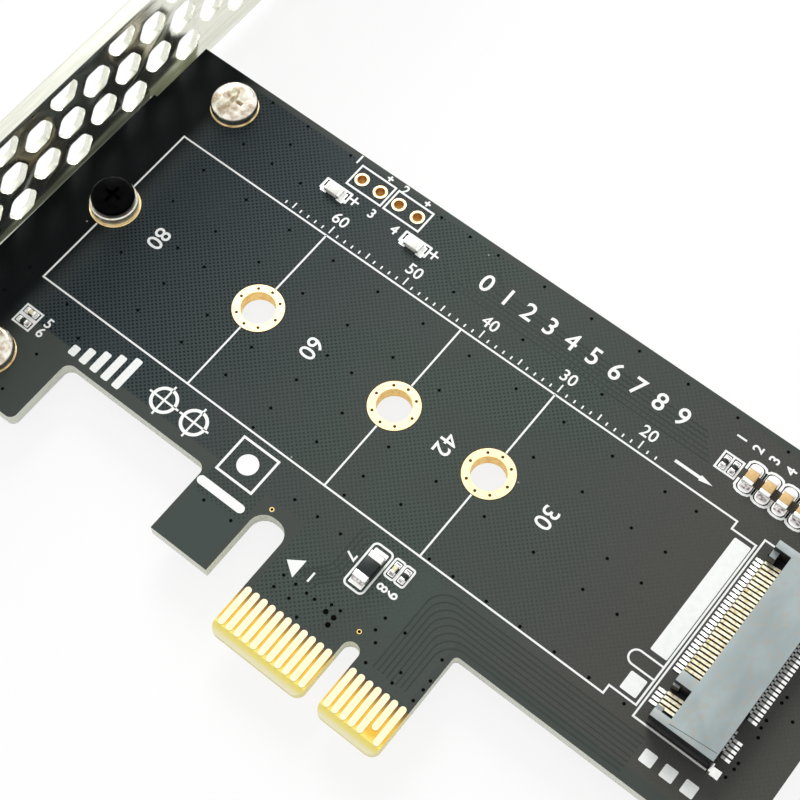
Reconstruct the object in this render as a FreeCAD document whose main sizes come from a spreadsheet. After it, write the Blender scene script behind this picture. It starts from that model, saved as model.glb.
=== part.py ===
# M.2 solid-state drive to one-lane card-edge adapter, with a full-height vented bracket.
#
# Frame, in millimetres: the origin is on the board's component face, on the centre line of
# the M.2 module, where the module's card edge would stop. +X runs along the module towards
# the M.2 socket, +Y away from the edge fingers, +Z out of the component face. The bracket
# stands at the far -X end.
import FreeCAD, Part
import math
import os
from types import SimpleNamespace

import Sketcher

# ---------------------------------------------------------------- driving dimensions
sizes = {
    # printed circuit board
    "boardThickness": 1.6,
    "boardWidth": 38.25,
    "boardRear": 9.95,          # rear edge, behind the socket
    "boardTop": 21.4,           # long edge away from the fingers
    "standoffToEdge": 6.2,      # standoff centre to the board's edge at the bracket
    "outerCorner": 0.8,
    "innerCorner": 1.0,
    "slotCorner": 1.75,         # nearly full round between the leg and the tab
    "footLength": 15.0,         # wide foot of the board behind the bracket
    "footDrop": 8.35,
    "reliefDepth": 0.4,         # board cut back where a bracket tab bends under it
    "reliefWidth": 8.2,
    # card-edge connector
    "keyX": -29.3,              # key notch between fingers 11 and 12
    "keyWidth": 1.9,
    "keyDepth": 7.6,
    "tabNearSide": 12.1,        # notch centre to the tab's pin 1 side
    "tabFarSide": 8.15,
    "tabDrop": 12.55,
    "bevelLength": 1.0,
    "bevelDepth": 0.45,
    "fingerPitch": 1.0,
    "fingerWidth": 0.7,
    "fingerCorner": 0.2,
    "fingerLength": 4.65,
    "fingerSetback": 1.0,       # finger end to the tab's tip
    "fingerShortBy": 1.1,       # presence-detect finger
    "fingerThickness": 0.05,
    "keyToFinger": 1.5,
    "nearFingers": 11,
    "farFingers": 7,
    "frontShortPin": 17,
    "backShortPin": 1,
    # hooked leg in front of the tab
    "legWidth": 7.15,
    "legDrop": 8.25,
    "legGap": 3.95,
    # plated module holes, at the standard card lengths
    "holeReachShort": 30.0,
    "holeReachMiddle": 42.0,
    "holeReachLong": 60.0,
    "standoffReach": 80.0,
    "moduleHoleRadius": 1.9,
    "moduleRingRadius": 2.8,
    "plating": 0.05,
    # bracket sheet
    "sheet": 0.86,
    "bracketGap": 0.5,          # board edge to the sheet
    "bracketLength": 120.02,
    "bracketWidth": 18.42,
    "bracketBelow": 37.6,       # module centre line to the tongue's tip
    "bendInside": 0.35,
    "tongueLength": 7.3,
    "tongueWidth": 10.2,
    "tongueOffset": 4.1,
    "tongueTaper": 2.2,
    "flangeReach": 1.4,
    "flangeInset": 8.0,         # flange end to the shoulder and to the ear
    "earReach": 11.43,
    "earNotchRadius": 2.21,
    "earNotchDepth": 5.2,
    "earNotchInset": 6.3,
    "tabWidth": 7.6,
    "tabReach": 12.6,
    "tabEndRadius": 3.7,
    # honeycomb vents in the bracket
    "ventPitch": 5.05,
    "ventFlats": 3.7,
    "ventInset": 4.34,          # sheet's lower edge to the first row of cells
    "ventMargin": 6.18,         # shoulder to the first column
    "ventColumns": 11,
    # screws that clamp the board to the bracket's tabs
    "screwInset": 8.0,          # from the board's edges
    "upperScrewInset": 3.95,
    "lowerScrewInset": 4.3,
    "screwRadius": 1.48,
    "screwLength": 4.0,
    "screwHeadRadius": 2.6,
    "screwHeadHeight": 1.5,
    "screwClearance": 0.15,
    "screwPadRadius": 2.7,
    "threadClearance": 0.02,
    # standoff and screw that hold a module of the longest size
    "standoffHeight": 1.3,
    "standoffRadius": 2.6,
    "moduleScrewRadius": 0.98,
    "moduleScrewLength": 2.5,
    "moduleScrewHeadRadius": 2.35,
    "moduleScrewHeadHeight": 1.0,
    "crossWidth": 0.22,         # share of the head radius
    "crossLength": 0.62,
    "crossDepth": 0.55,
    # M.2 socket
    "socketFront": -3.35,
    "socketRear": 3.75,
    "socketHalfWidth": 10.95,
    "socketHeight": 2.75,
    "socketRoof": 0.45,
    "socketFloor": 0.5,
    "roofFront": -1.5,
    "slotHalfWidth": 10.05,
    "slotBack": 2.3,
    "keyPostY": -6.125,
    "keyPostWidth": 1.25,
    "rearSlitHeight": 0.3,
    "contactPitch": 0.5,
    "contactWidth": 0.24,
    "contactThickness": 0.15,
    "contactBow": 0.45,         # how far the spring arms lean into the slot
    "contactRun": 29,           # contacts on the long side of the key
    "frontContacts": 4,
    "rearContacts": 5,
    "contactsSkipped": 4,       # left out at the key
    "frontContactY": 9.0,
    "rearContactY": 9.25,
    "frontTailX": -4.3,
    "rearTailX": 4.95,
    "frontArmEnd": 1.7,
    "rearArmEnd": -0.6,
    "nailReach": 1.2,
    "nailWidth": 0.95,
    "nailThickness": 0.25,
    "nailHeight": 1.1,
    # chips: ceramic capacitors, resistors, lamps and the resettable fuse
    "chipSink": 0.03,
    "capLength": 2.0,
    "capWidth": 1.2,
    "capHeight": 0.95,
    "capEnd": 0.45,
    "capFirstX": -9.35,
    "capPitch": 2.0,
    "capInset": 5.65,           # below the board's long edge
    "smallLength": 1.0,
    "smallWidth": 0.5,
    "smallHeight": 0.4,
    "smallEnd": 0.25,
    "lampLength": 2.0,
    "lampWidth": 1.2,
    "lampHeight": 0.75,
    "lampEnd": 0.35,
    "lampInset": 5.55,
    "powerLampInset": 23.45,    # from the board's edge at the bracket
    "activityLampInset": 34.2,
    "fuseLength": 3.2,
    "fuseWidth": 1.6,
    "fuseHeight": 0.75,
    "fuseEnd": 0.75,
    "pairX": -12.35,            # two resistors side by side, near the lamps' feed
    "pairPitch": 1.1,
    "pairInset": 5.75,
    "supplyX": -31.05,          # capacitor and resistor beside the fuse
    "supplyPitch": 1.22,
    "supplyInset": 3.17,        # above the board's edge on the finger side
    "cornerInset": 8.25,        # capacitor and resistor at the bracket end
    "cornerRise": 1.83,
    "cornerPitch": 1.24,
    "fuseX": -33.1,
    "fuseInset": 1.65,
    # lamp headers
    "headerPitch": 2.5,
    "headerHoleRadius": 0.5,
    "headerPadRadius": 0.85,
    "headerInset": 2.53,
    "powerHeaderInset": 24.8,
    "activityHeaderInset": 29.85,
}


class Size:
    """A length that knows its number and the spreadsheet expression that gives it."""

    def __init__(self, text, value):
        self.text = text
        self.value = value

    def combined(self, sign, other, value, swap=False):
        mine, theirs = self.text, other.text if isinstance(other, Size) else repr(other)
        if swap:
            mine, theirs = theirs, mine
        return Size("(%s %s %s)" % (mine, sign, theirs), value)

    def __add__(self, other):
        return self.combined("+", other, self.value + plain(other))

    def __radd__(self, other):
        return self.combined("+", other, plain(other) + self.value, True)

    def __sub__(self, other):
        return self.combined("-", other, self.value - plain(other))

    def __rsub__(self, other):
        return self.combined("-", other, plain(other) - self.value, True)

    def __mul__(self, other):
        return self.combined("*", other, self.value * plain(other))

    __rmul__ = __mul__

    def __truediv__(self, other):
        return self.combined("/", other, self.value / plain(other))

    def __neg__(self):
        return Size("(0 - %s)" % self.text, -self.value)


def plain(length):
    return length.value if isinstance(length, Size) else length


doc = FreeCAD.newDocument("AdapterCard")
sheet = doc.addObject("Spreadsheet::Sheet", "Sizes")
for row, (name, value) in enumerate(sizes.items(), start=1):
    sheet.set("A%d" % row, name)
    sheet.set("B%d" % row, str(value))
    sheet.setAlias("B%d" % row, name)
doc.recompute()
d = SimpleNamespace(**{name: Size("Sizes." + name, value) for name, value in sizes.items()})
subParts = []


# ---------------------------------------------------------------- helpers
def bind(thing, prop, length):
    if isinstance(length, Size):
        thing.setExpression(prop, length.text)
    else:
        setattr(thing, prop, length)


def place(thing, x=0, y=0, z=0):
    thing.Placement.Base = FreeCAD.Vector(plain(x), plain(y), plain(z))
    for axis, length in zip("xyz", (x, y, z)):
        if isinstance(length, Size):
            thing.setExpression("Placement.Base." + axis, length.text)


def newBody(label):
    body = doc.addObject("PartDesign::Body", label)
    body.Label = label
    subParts.append(body)
    return body


def newSketch(body, role, name, lift=0):
    sketch = body.newObject("Sketcher::SketchObject", body.Label + "_" + name)
    plane = [f for f in body.Origin.OriginFeatures if f.Role == role][0]
    sketch.AttachmentSupport = [(plane, "")]
    sketch.MapMode = "FlatFace"
    sketch.AttachmentOffset.Base = FreeCAD.Vector(0, 0, plain(lift))
    if isinstance(lift, Size):
        sketch.setExpression("AttachmentOffset.Base.z", lift.text)
    return sketch


def fix(sketch, geometry, point, x, y):
    # Ties one point of a sketch to the origin by its two distances.
    for kind, length in (("DistanceX", x), ("DistanceY", y)):
        if length is None:
            continue
        index = sketch.addConstraint(Sketcher.Constraint(kind, -1, 1, geometry, point, plain(length)))
        if isinstance(length, Size):
            sketch.setExpression("Constraints[%d]" % index, length.text)


def loop(sketch, steps):
    # A closed outline. Each step is (x, y) for a straight run to the next step, or
    # (x, y, centreX, centreY, turn) for an arc, with turn +1 anticlockwise.
    first = sketch.GeometryCount
    for here, there in zip(steps, steps[1:] + steps[:1]):
        start = FreeCAD.Vector(plain(here[0]), plain(here[1]), 0)
        end = FreeCAD.Vector(plain(there[0]), plain(there[1]), 0)
        if len(here) == 2:
            sketch.addGeometry(Part.LineSegment(start, end), False)
            continue
        centre = FreeCAD.Vector(plain(here[2]), plain(here[3]), 0)
        a, b = (start, end) if here[4] > 0 else (end, start)
        fromAngle = math.atan2(a.y - centre.y, a.x - centre.x)
        toAngle = math.atan2(b.y - centre.y, b.x - centre.x)
        if toAngle < fromAngle:
            toAngle += 2 * math.pi
        circle = Part.Circle(centre, FreeCAD.Vector(0, 0, 1), (start - centre).Length)
        sketch.addGeometry(Part.ArcOfCircle(circle, fromAngle, toAngle), False)
    for index, here in enumerate(steps):
        geometry = first + index
        before = first + (index - 1) % len(steps)
        previous = steps[index - 1]
        startPoint = 2 if len(here) > 2 and here[4] < 0 else 1
        endPoint = 1 if len(previous) > 2 and previous[4] < 0 else 2
        sketch.addConstraint(Sketcher.Constraint("Coincident", before, endPoint, geometry, startPoint))
        fix(sketch, geometry, startPoint, here[0], here[1])
        if len(here) > 2:
            there = steps[(index + 1) % len(steps)]
            wide = abs(plain(there[0]) - plain(here[0])) > abs(plain(there[1]) - plain(here[1]))
            fix(sketch, geometry, 3, None if wide else here[2], here[3] if wide else None)


def corners(points):
    # Steps for an outline of square corners, each (x, y) or (x, y, radius) where rounded.
    steps = []
    for index, corner in enumerate(points):
        before, after = points[index - 1], points[(index + 1) % len(points)]
        if len(corner) == 2:
            steps.append(corner)
            continue
        x, y, radius = corner
        inX, inY = heading(before, corner)
        outX, outY = heading(corner, after)
        steps.append((x - radius * inX, y - radius * inY,
                      x - radius * inX + radius * outX, y - radius * inY + radius * outY,
                      1 if inX * outY - inY * outX > 0 else -1))
        steps.append((x + radius * outX, y + radius * outY))
    return steps


def heading(start, end):
    across = plain(end[0]) - plain(start[0])
    up = plain(end[1]) - plain(start[1])
    if abs(across) > abs(up):
        return (1 if across > 0 else -1), 0
    return 0, (1 if up > 0 else -1)


def rectangle(left, bottom, right, top):
    return [(left, bottom), (right, bottom), (right, top), (left, top)]


def circle(sketch, x, y, radius):
    centre = FreeCAD.Vector(plain(x), plain(y), 0)
    shape = Part.Circle(centre, FreeCAD.Vector(0, 0, 1), plain(radius))
    geometry = sketch.addGeometry(shape, False)
    fix(sketch, geometry, 3, x, y)
    index = sketch.addConstraint(Sketcher.Constraint("Radius", geometry, plain(radius)))
    sketch.setExpression("Constraints[%d]" % index, radius.text)


def pad(body, sketch, length, backwards=False):
    feature = body.newObject("PartDesign::Pad", sketch.Name + "_pad")
    feature.Profile = sketch
    bind(feature, "Length", length)
    feature.Reversed = backwards
    return grown(body, feature, sketch)


def pocket(body, sketch, length=None, backwards=False):
    feature = body.newObject("PartDesign::Pocket", sketch.Name + "_pocket")
    feature.Profile = sketch
    if length is None:
        feature.Type = "ThroughAll"
        feature.Midplane = True
    else:
        bind(feature, "Length", length)
        feature.Reversed = backwards
    before = body.Shape.Volume
    grown(body, feature, sketch)
    if body.Shape.Volume > before - 1e-6:
        raise RuntimeError(feature.Name + " cuts nothing")
    return feature


def revolve(body, sketch):
    feature = body.newObject("PartDesign::Revolution", sketch.Name + "_turned")
    feature.Profile = sketch
    feature.ReferenceAxis = (sketch, ["V_Axis"])
    feature.Angle = 360
    return grown(body, feature, sketch)


def repeat(body, original, axis, pitch, count, backwards=False):
    sketch = original.Profile[0]
    feature = body.newObject("PartDesign::LinearPattern", original.Name + "_row")
    feature.Originals = [original]
    feature.Direction = (sketch, [axis])
    feature.Reversed = backwards
    feature.Mode = "Spacing"
    bind(feature, "Offset", pitch)
    bind(feature, "Occurrences", count)
    return grown(body, feature, sketch)


def grown(body, feature, sketch):
    sketch.Visibility = False
    body.Tip = feature
    doc.recompute()
    return feature


def box(name, x, y, z, length, width, height):
    # A block centred on x and y, standing on z.
    block = doc.addObject("Part::Box", name)
    bind(block, "Length", length)
    bind(block, "Width", width)
    bind(block, "Height", height)
    place(block, x - length / 2, y - width / 2, z)
    return block


# ---------------------------------------------------------------- places worked out once
boardLeft = -(d.standoffReach + d.standoffToEdge)
boardBottom = d.boardTop - d.boardWidth
underside = -d.boardThickness
footBottom = boardBottom - d.footDrop
footRight = boardLeft + d.footLength
tabLeft = d.keyX - d.tabNearSide
tabRight = d.keyX + d.tabFarSide
tabTip = boardBottom - d.tabDrop
legRight = tabLeft - d.legGap
legLeft = legRight - d.legWidth
reliefX = boardLeft + d.reliefDepth
screwX = boardLeft + d.screwInset
upperScrewY = d.boardTop - d.upperScrewInset
lowerScrewY = footBottom + d.lowerScrewInset
screwHole = d.screwRadius + d.screwClearance
headerY = d.boardTop - d.headerInset
powerHeaderX = boardLeft + d.powerHeaderInset
activityHeaderX = boardLeft + d.activityHeaderInset
sheetInner = boardLeft - d.bracketGap
sheetOuter = sheetInner - d.sheet
tabTop = underside
sheetBottom = tabTop - d.sheet
sheetTop = sheetBottom + d.bracketWidth
bendOutside = d.bendInside + d.sheet
tongueTip = -d.bracketBelow
shoulderY = tongueTip + d.tongueLength
earY = tongueTip + d.bracketLength


# ---------------------------------------------------------------- printed circuit board
def makeBoard():
    body = newBody("circuit_board")
    outline = newSketch(body, "XY_Plane", "outline")
    loop(outline, corners([
        (boardLeft, footBottom + d.reliefWidth),
        (reliefX, footBottom + d.reliefWidth),
        (reliefX, footBottom),
        (footRight, footBottom, d.outerCorner),
        (footRight, boardBottom, d.innerCorner),
        (legLeft, boardBottom, d.innerCorner),
        (legLeft, boardBottom - d.legDrop),
        (legRight, boardBottom - d.legDrop),
        (legRight, boardBottom, d.slotCorner),
        (tabLeft, boardBottom, d.slotCorner),
        (tabLeft, tabTip),
        (tabRight, tabTip),
        (tabRight, boardBottom, d.innerCorner / 2),
        (d.boardRear, boardBottom),
        (d.boardRear, d.boardTop),
        (reliefX, d.boardTop),
        (reliefX, d.boardTop - d.reliefWidth),
        (boardLeft, d.boardTop - d.reliefWidth),
    ]))
    pad(body, outline, d.boardThickness, backwards=True)

    # The key notch is routed, so it ends in a half round.
    notch = newSketch(body, "XY_Plane", "key")
    half = d.keyWidth / 2
    ends = tabTip + d.keyDepth - half
    loop(notch, [(d.keyX - half, tabTip - half), (d.keyX + half, tabTip - half),
                 (d.keyX + half, ends, d.keyX, ends, 1), (d.keyX - half, ends)])
    pocket(body, notch)

    holes = newSketch(body, "XY_Plane", "holes")
    for reach in (d.holeReachShort, d.holeReachMiddle, d.holeReachLong, d.standoffReach):
        circle(holes, -reach, 0, d.moduleHoleRadius)
    for y in (upperScrewY, lowerScrewY):
        circle(holes, screwX, y, screwHole)
    for x in (powerHeaderX, activityHeaderX):
        for step in (0, 1):
            circle(holes, x + d.headerPitch * step, headerY, d.headerPadRadius)
    pocket(body, holes)

    # Both faces are bevelled at the tip of the edge connector.
    bevel = newSketch(body, "YZ_Plane", "bevel")
    loop(bevel, [(tabTip, -d.bevelDepth), (tabTip + d.bevelLength, 0), (tabTip, 0)])
    loop(bevel, [(tabTip, underside), (tabTip + d.bevelLength, underside),
                 (tabTip, underside + d.bevelDepth)])
    pocket(body, bevel)


def makeFingers(label, level, shortPin):
    # One row of gold fingers with their corners cut off. shortPin counts from pin 1.
    body = newBody(label)
    top = tabTip + d.fingerSetback + d.fingerLength
    low = tabTip + d.fingerSetback
    nearFirst = d.keyX - d.keyToFinger - d.fingerPitch * (d.nearFingers - 1)
    farFirst = d.keyX + d.keyToFinger
    near, far = int(d.nearFingers.value), int(d.farFingers.value)
    runs = {"near": (nearFirst, 1, near), "far": (farFirst, near + 1, far)}
    for name, (firstX, firstPin, count) in runs.items():
        for part, (start, stop) in enumerate(((0, shortPin - firstPin), (shortPin - firstPin + 1, count))):
            start, stop = max(start, 0), min(stop, count)
            if stop <= start:
                continue
            x = firstX + d.fingerPitch * start
            finger = newSketch(body, "XY_Plane", "%s%d" % (name, part), level)
            loop(finger, fingerOutline(x, low, top))
            raised = pad(body, finger, d.fingerThickness)
            if stop - start > 1:
                repeat(body, raised, "H_Axis", d.fingerPitch, stop - start)
        if firstPin <= shortPin < firstPin + count:
            finger = newSketch(body, "XY_Plane", "short", level)
            x = firstX + d.fingerPitch * (shortPin - firstPin)
            loop(finger, fingerOutline(x, low + d.fingerShortBy, top))
            pad(body, finger, d.fingerThickness)


def fingerOutline(x, low, top):
    left, right, cut = x - d.fingerWidth / 2, x + d.fingerWidth / 2, d.fingerCorner
    return [(left, low + cut), (left + cut, low), (right - cut, low), (right, low + cut),
            (right, top - cut), (right - cut, top), (left + cut, top), (left, top - cut)]


def makeRings(label, x, y, radius, ringRadius, back=True):
    # Bare plated ring around a hole, on the component face and, if asked, on the back.
    body = newBody(label)
    place(body, x, y)
    for name, level in (("front", 0), ("back", underside))[:2 if back else 1]:
        ring = newSketch(body, "XY_Plane", name, level)
        circle(ring, 0, 0, radius)
        circle(ring, 0, 0, ringRadius)
        pad(body, ring, d.plating, backwards=name == "back")


def makeHeader(label, x):
    # Two plated holes for a lamp's wires, each a sleeve that stands proud of both faces.
    body = newBody(label)
    place(body, x, headerY)
    ring = newSketch(body, "XY_Plane", "sleeve", underside - d.plating)
    circle(ring, 0, 0, d.headerHoleRadius)
    circle(ring, 0, 0, d.headerPadRadius)
    sleeve = pad(body, ring, d.boardThickness + d.plating * 2)
    repeat(body, sleeve, "H_Axis", d.headerPitch, 2)


# ---------------------------------------------------------------- bracket
def makeBracket():
    body = newBody("bracket")
    flangeLow, flangeHigh = shoulderY + d.flangeInset, earY - d.flangeInset
    bendTop = sheetTop - bendOutside
    bendBottom = sheetBottom + bendOutside
    halfTab = d.tabWidth / 2

    # Flat face of the sheet, stopping where the bends start.
    tongueLow = sheetBottom + d.tongueOffset
    tongueHigh = tongueLow + d.tongueWidth
    face = newSketch(body, "YZ_Plane", "face", sheetOuter)
    points = [(shoulderY, sheetBottom)]
    for y in (lowerScrewY, upperScrewY):
        points += [(y - halfTab, sheetBottom), (y - halfTab, bendBottom),
                   (y + halfTab, bendBottom), (y + halfTab, sheetBottom)]
    points += [(earY - bendOutside, sheetBottom), (earY - bendOutside, sheetTop),
               (flangeHigh, sheetTop), (flangeHigh, bendTop), (flangeLow, bendTop),
               (flangeLow, sheetTop), (shoulderY, sheetTop), (shoulderY, tongueHigh),
               (tongueTip + d.tongueTaper, tongueHigh), (tongueTip, tongueHigh - d.tongueTaper),
               (tongueTip, tongueLow + d.tongueTaper), (tongueTip + d.tongueTaper, tongueLow),
               (shoulderY, tongueLow)]
    loop(face, points)
    pad(body, face, d.sheet)

    # Stiffening flange folded inwards along the component side.
    flange = newSketch(body, "XZ_Plane", "flange", -flangeLow)
    loop(flange, [
        (sheetOuter, bendTop, sheetOuter + bendOutside, bendTop, -1),
        (sheetOuter + bendOutside, sheetTop), (sheetInner + d.flangeReach, sheetTop),
        (sheetInner + d.flangeReach, sheetTop - d.sheet),
        (sheetInner + d.bendInside, sheetTop - d.sheet, sheetInner + d.bendInside, bendTop, 1),
        (sheetInner, bendTop)])
    pad(body, flange, flangeHigh - flangeLow, backwards=True)

    # Two tabs folded under the board, each with a hole for its screw.
    for name, y in (("lower", lowerScrewY), ("upper", upperScrewY)):
        tab = newSketch(body, "XZ_Plane", name + "Tab", halfTab - y)
        loop(tab, [
            (sheetOuter, bendBottom, sheetOuter + bendOutside, bendBottom, 1),
            (sheetOuter + bendOutside, sheetBottom), (sheetInner + d.tabReach, sheetBottom),
            (sheetInner + d.tabReach, tabTop),
            (sheetInner + d.bendInside, tabTop, sheetInner + d.bendInside, bendBottom, -1),
            (sheetInner, bendBottom)])
        pad(body, tab, d.tabWidth, backwards=True)
    trim = newSketch(body, "XY_Plane", "tabEnds", sheetBottom)
    end, beyond = sheetInner + d.tabReach, d.sheet
    for y in (lowerScrewY, upperScrewY):
        for side in (-1, 1):
            edge = y + halfTab * side
            cornerX, cornerY = end - d.tabEndRadius, edge - d.tabEndRadius * side
            loop(trim, [(cornerX, edge, cornerX, cornerY, -side), (end, cornerY),
                        (end + beyond, cornerY), (end + beyond, edge + beyond * side),
                        (cornerX, edge + beyond * side)])
    pocket(body, trim, d.sheet, backwards=True)
    taps = newSketch(body, "XY_Plane", "taps", sheetBottom)
    for y in (lowerScrewY, upperScrewY):
        circle(taps, screwX, y, d.screwRadius + d.threadClearance)
    pocket(body, taps, d.sheet, backwards=True)

    # Mounting ear folded outwards at the top, with an open notch for the chassis screw.
    ear = newSketch(body, "XY_Plane", "ear", sheetBottom)
    earEnd = sheetInner - d.earReach
    loop(ear, [
        (sheetInner, earY - bendOutside, sheetInner - bendOutside, earY - bendOutside, 1),
        (sheetInner - bendOutside, earY), (earEnd, earY), (earEnd, earY - d.sheet),
        (sheetOuter - d.bendInside, earY - d.sheet, sheetOuter - d.bendInside, earY - bendOutside, -1),
        (sheetOuter, earY - bendOutside)])
    pad(body, ear, d.bracketWidth)
    notch = newSketch(body, "XZ_Plane", "notch", -earY)
    r = d.earNotchRadius
    middle = sheetInner - d.earNotchInset
    notchEnd = sheetBottom + d.earNotchDepth - r
    loop(notch, [(middle - r, sheetBottom - r), (middle + r, sheetBottom - r),
                 (middle + r, notchEnd, middle, notchEnd, 1), (middle - r, notchEnd)])
    pocket(body, notch, d.sheet, backwards=True)

    # Honeycomb vents: full columns of three cells, with columns of two between them.
    columnPitch = d.ventPitch * round(math.sqrt(3) / 2, 4)
    firstY = shoulderY + d.ventMargin
    firstZ = sheetBottom + d.ventInset
    count = int(d.ventColumns.value)
    for name, cells, y, z, columns in (
            ("odd", 3, firstY, firstZ, count),
            ("even", 2, firstY + columnPitch, firstZ + d.ventPitch / 2, count - 1)):
        cut = newSketch(body, "YZ_Plane", name + "Vents", sheetOuter)
        for cell in range(cells):
            loop(cut, hexagon(y, z + d.ventPitch * cell, d.ventFlats))
        column = pocket(body, cut, d.sheet, backwards=True)
        repeat(body, column, "H_Axis", columnPitch * 2, columns)


def hexagon(x, y, flats):
    # Flat sides at top and bottom.
    reach = flats * round(1 / math.sqrt(3), 4)
    return [(x + reach, y), (x + reach / 2, y + flats / 2), (x - reach / 2, y + flats / 2),
            (x - reach, y), (x - reach / 2, y - flats / 2), (x + reach / 2, y - flats / 2)]


# ---------------------------------------------------------------- fasteners
def makeScrew(label, x, y, seat, radius, length, headRadius, headHeight):
    # Pan head with a cross recess and a sloped crown; the thread is left as its outer cylinder.
    body = newBody(label)
    place(body, x, y, seat)
    profile = newSketch(body, "XZ_Plane", "profile")
    crown = headHeight / 2
    loop(profile, [
        (0, -length), (radius, -length), (radius, 0), (headRadius, 0), (headRadius, headHeight - crown),
        (headRadius - crown, headHeight), (0, headHeight)])
    revolve(body, profile)
    recess = newSketch(body, "XY_Plane", "recess", headHeight)
    arm, half = headRadius * d.crossLength, headRadius * d.crossWidth / 2
    loop(recess, [(arm, -half), (arm, half), (half, half), (half, arm), (-half, arm), (-half, half),
                  (-arm, half), (-arm, -half), (-half, -half), (-half, -arm), (half, -arm), (half, -half)])
    pocket(body, recess, headHeight * d.crossDepth)


def makeStandoff():
    # Turned nickel-plated post: collar on the board, shank through it, hole for the screw.
    body = newBody("module_standoff")
    place(body, -d.standoffReach)
    profile = newSketch(body, "XZ_Plane", "profile")
    bore = d.moduleScrewRadius + d.threadClearance
    shank = d.moduleHoleRadius - d.threadClearance
    loop(profile, [
        (bore, underside), (shank, underside), (shank, d.plating), (d.standoffRadius, d.plating),
        (d.standoffRadius, d.standoffHeight), (bore, d.standoffHeight)])
    revolve(body, profile)


# ---------------------------------------------------------------- M.2 socket
def makeSocket():
    body = newBody("socket_housing")
    block = newSketch(body, "XY_Plane", "block")
    loop(block, rectangle(d.socketFront, -d.socketHalfWidth, d.socketRear, d.socketHalfWidth))
    pad(body, block, d.socketHeight)

    # Throat in front of the roof, and the slot that the card edge enters, both split by the key post.
    postLow, postHigh = d.keyPostY - d.keyPostWidth / 2, d.keyPostY + d.keyPostWidth / 2
    spans = ((-d.slotHalfWidth, postLow), (postHigh, d.slotHalfWidth))
    throat = newSketch(body, "XY_Plane", "throat", d.socketHeight)
    for low, high in spans:
        loop(throat, rectangle(d.socketFront - d.socketFloor, low, d.roofFront, high))
    pocket(body, throat, d.socketHeight - d.socketFloor)
    slot = newSketch(body, "XY_Plane", "slot", d.socketHeight - d.socketRoof)
    for low, high in spans:
        loop(slot, rectangle(d.roofFront - d.socketFloor, low, d.slotBack, high))
    pocket(body, slot, d.socketHeight - d.socketRoof - d.socketFloor)
    # The floor stops short of the tails, and the rear contacts leave through a slit.
    lip = newSketch(body, "XY_Plane", "lip", d.socketFloor)
    for low, high in spans:
        loop(lip, rectangle(d.socketFront - d.socketFloor, low, d.socketFront + d.socketFloor, high))
    pocket(body, lip, d.socketFloor)
    slit = newSketch(body, "XY_Plane", "slit", d.socketHeight - d.socketRoof)
    for low, high in spans:
        loop(slit, rectangle(d.slotBack - d.rearSlitHeight, low, d.socketRear + d.rearSlitHeight, high))
    pocket(body, slit, d.rearSlitHeight)


def makeContacts(label, firstY, farCount, steps):
    # Stamped contacts, all of one bent profile, in a run on each side of the key.
    body = newBody(label)
    run = int(d.contactRun.value)
    farY = firstY - d.contactPitch * (d.contactRun + d.contactsSkipped)
    for name, y, count in (("long", firstY, run), ("short", farY, int(farCount.value))):
        profile = newSketch(body, "XZ_Plane", name, -(y + d.contactWidth / 2))
        loop(profile, steps)
        contact = pad(body, profile, d.contactWidth)
        repeat(body, contact, "N_Axis", d.contactPitch, count)


def frontContactOutline():
    # Tail on the board, riser ahead of the floor, sprung arm leaning up into the slot.
    w = d.contactThickness
    riser = d.socketFront - w
    tip = d.socketFloor + w + d.contactBow
    return [(d.frontTailX, 0), (riser + w, 0), (riser + w * 2, d.socketFloor), (d.frontArmEnd, tip),
            (d.frontArmEnd, tip + w), (riser + w, d.socketFloor + w), (riser, w), (d.frontTailX, w)]


def rearContactOutline():
    # Tail behind the socket, riser up its rear wall, arm through the slit leaning down into the slot.
    w = d.contactThickness
    level = d.socketHeight - d.socketRoof - w * 1.5
    wall = d.socketRear + w / 2
    return [(d.rearTailX, 0), (d.rearTailX, w), (wall + w, w), (wall + w, level + w),
            (d.rearArmEnd, level + w), (d.rearArmEnd, level), (wall, level), (wall, 0)]


def makeNail(label, side):
    # Soldered hold-down at one rear corner of the socket.
    body = newBody(label)
    profile = newSketch(body, "XZ_Plane", "profile", -(d.socketHalfWidth * side + d.nailWidth / 2))
    w = d.nailThickness
    rear = d.socketRear
    loop(profile, [(rear, 0), (rear + d.nailReach, 0), (rear + d.nailReach, w), (rear + w, w),
                   (rear + w, d.nailHeight), (rear, d.nailHeight)])
    pad(body, profile, d.nailWidth)


# ---------------------------------------------------------------- chips
def makeChip(label, x, y, length, width, height, end, along="Y"):
    # Ceramic or moulded middle, a little slimmer than the two plated ends beside it.
    middle = length - end * 2
    slim = width - d.chipSink * 2
    spans = (slim, middle) if along == "Y" else (middle, slim)
    core = box(label + "_body", x, y, d.chipSink, *spans, height - d.chipSink * 2)
    core.Label = label + "_body"
    subParts.append(core)
    spans = (width, end) if along == "Y" else (end, width)
    caps = []
    for name, side in (("low", -1), ("high", 1)):
        shift = (middle + end) / 2 * side
        centre = (x, y + shift) if along == "Y" else (x + shift, y)
        caps.append(box("%s_%s_end" % (label, name), *centre, 0, *spans, height))
    ends = doc.addObject("Part::Compound", label + "_ends")
    ends.Label = label + "_ends"
    ends.Links = caps
    subParts.append(ends)


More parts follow.
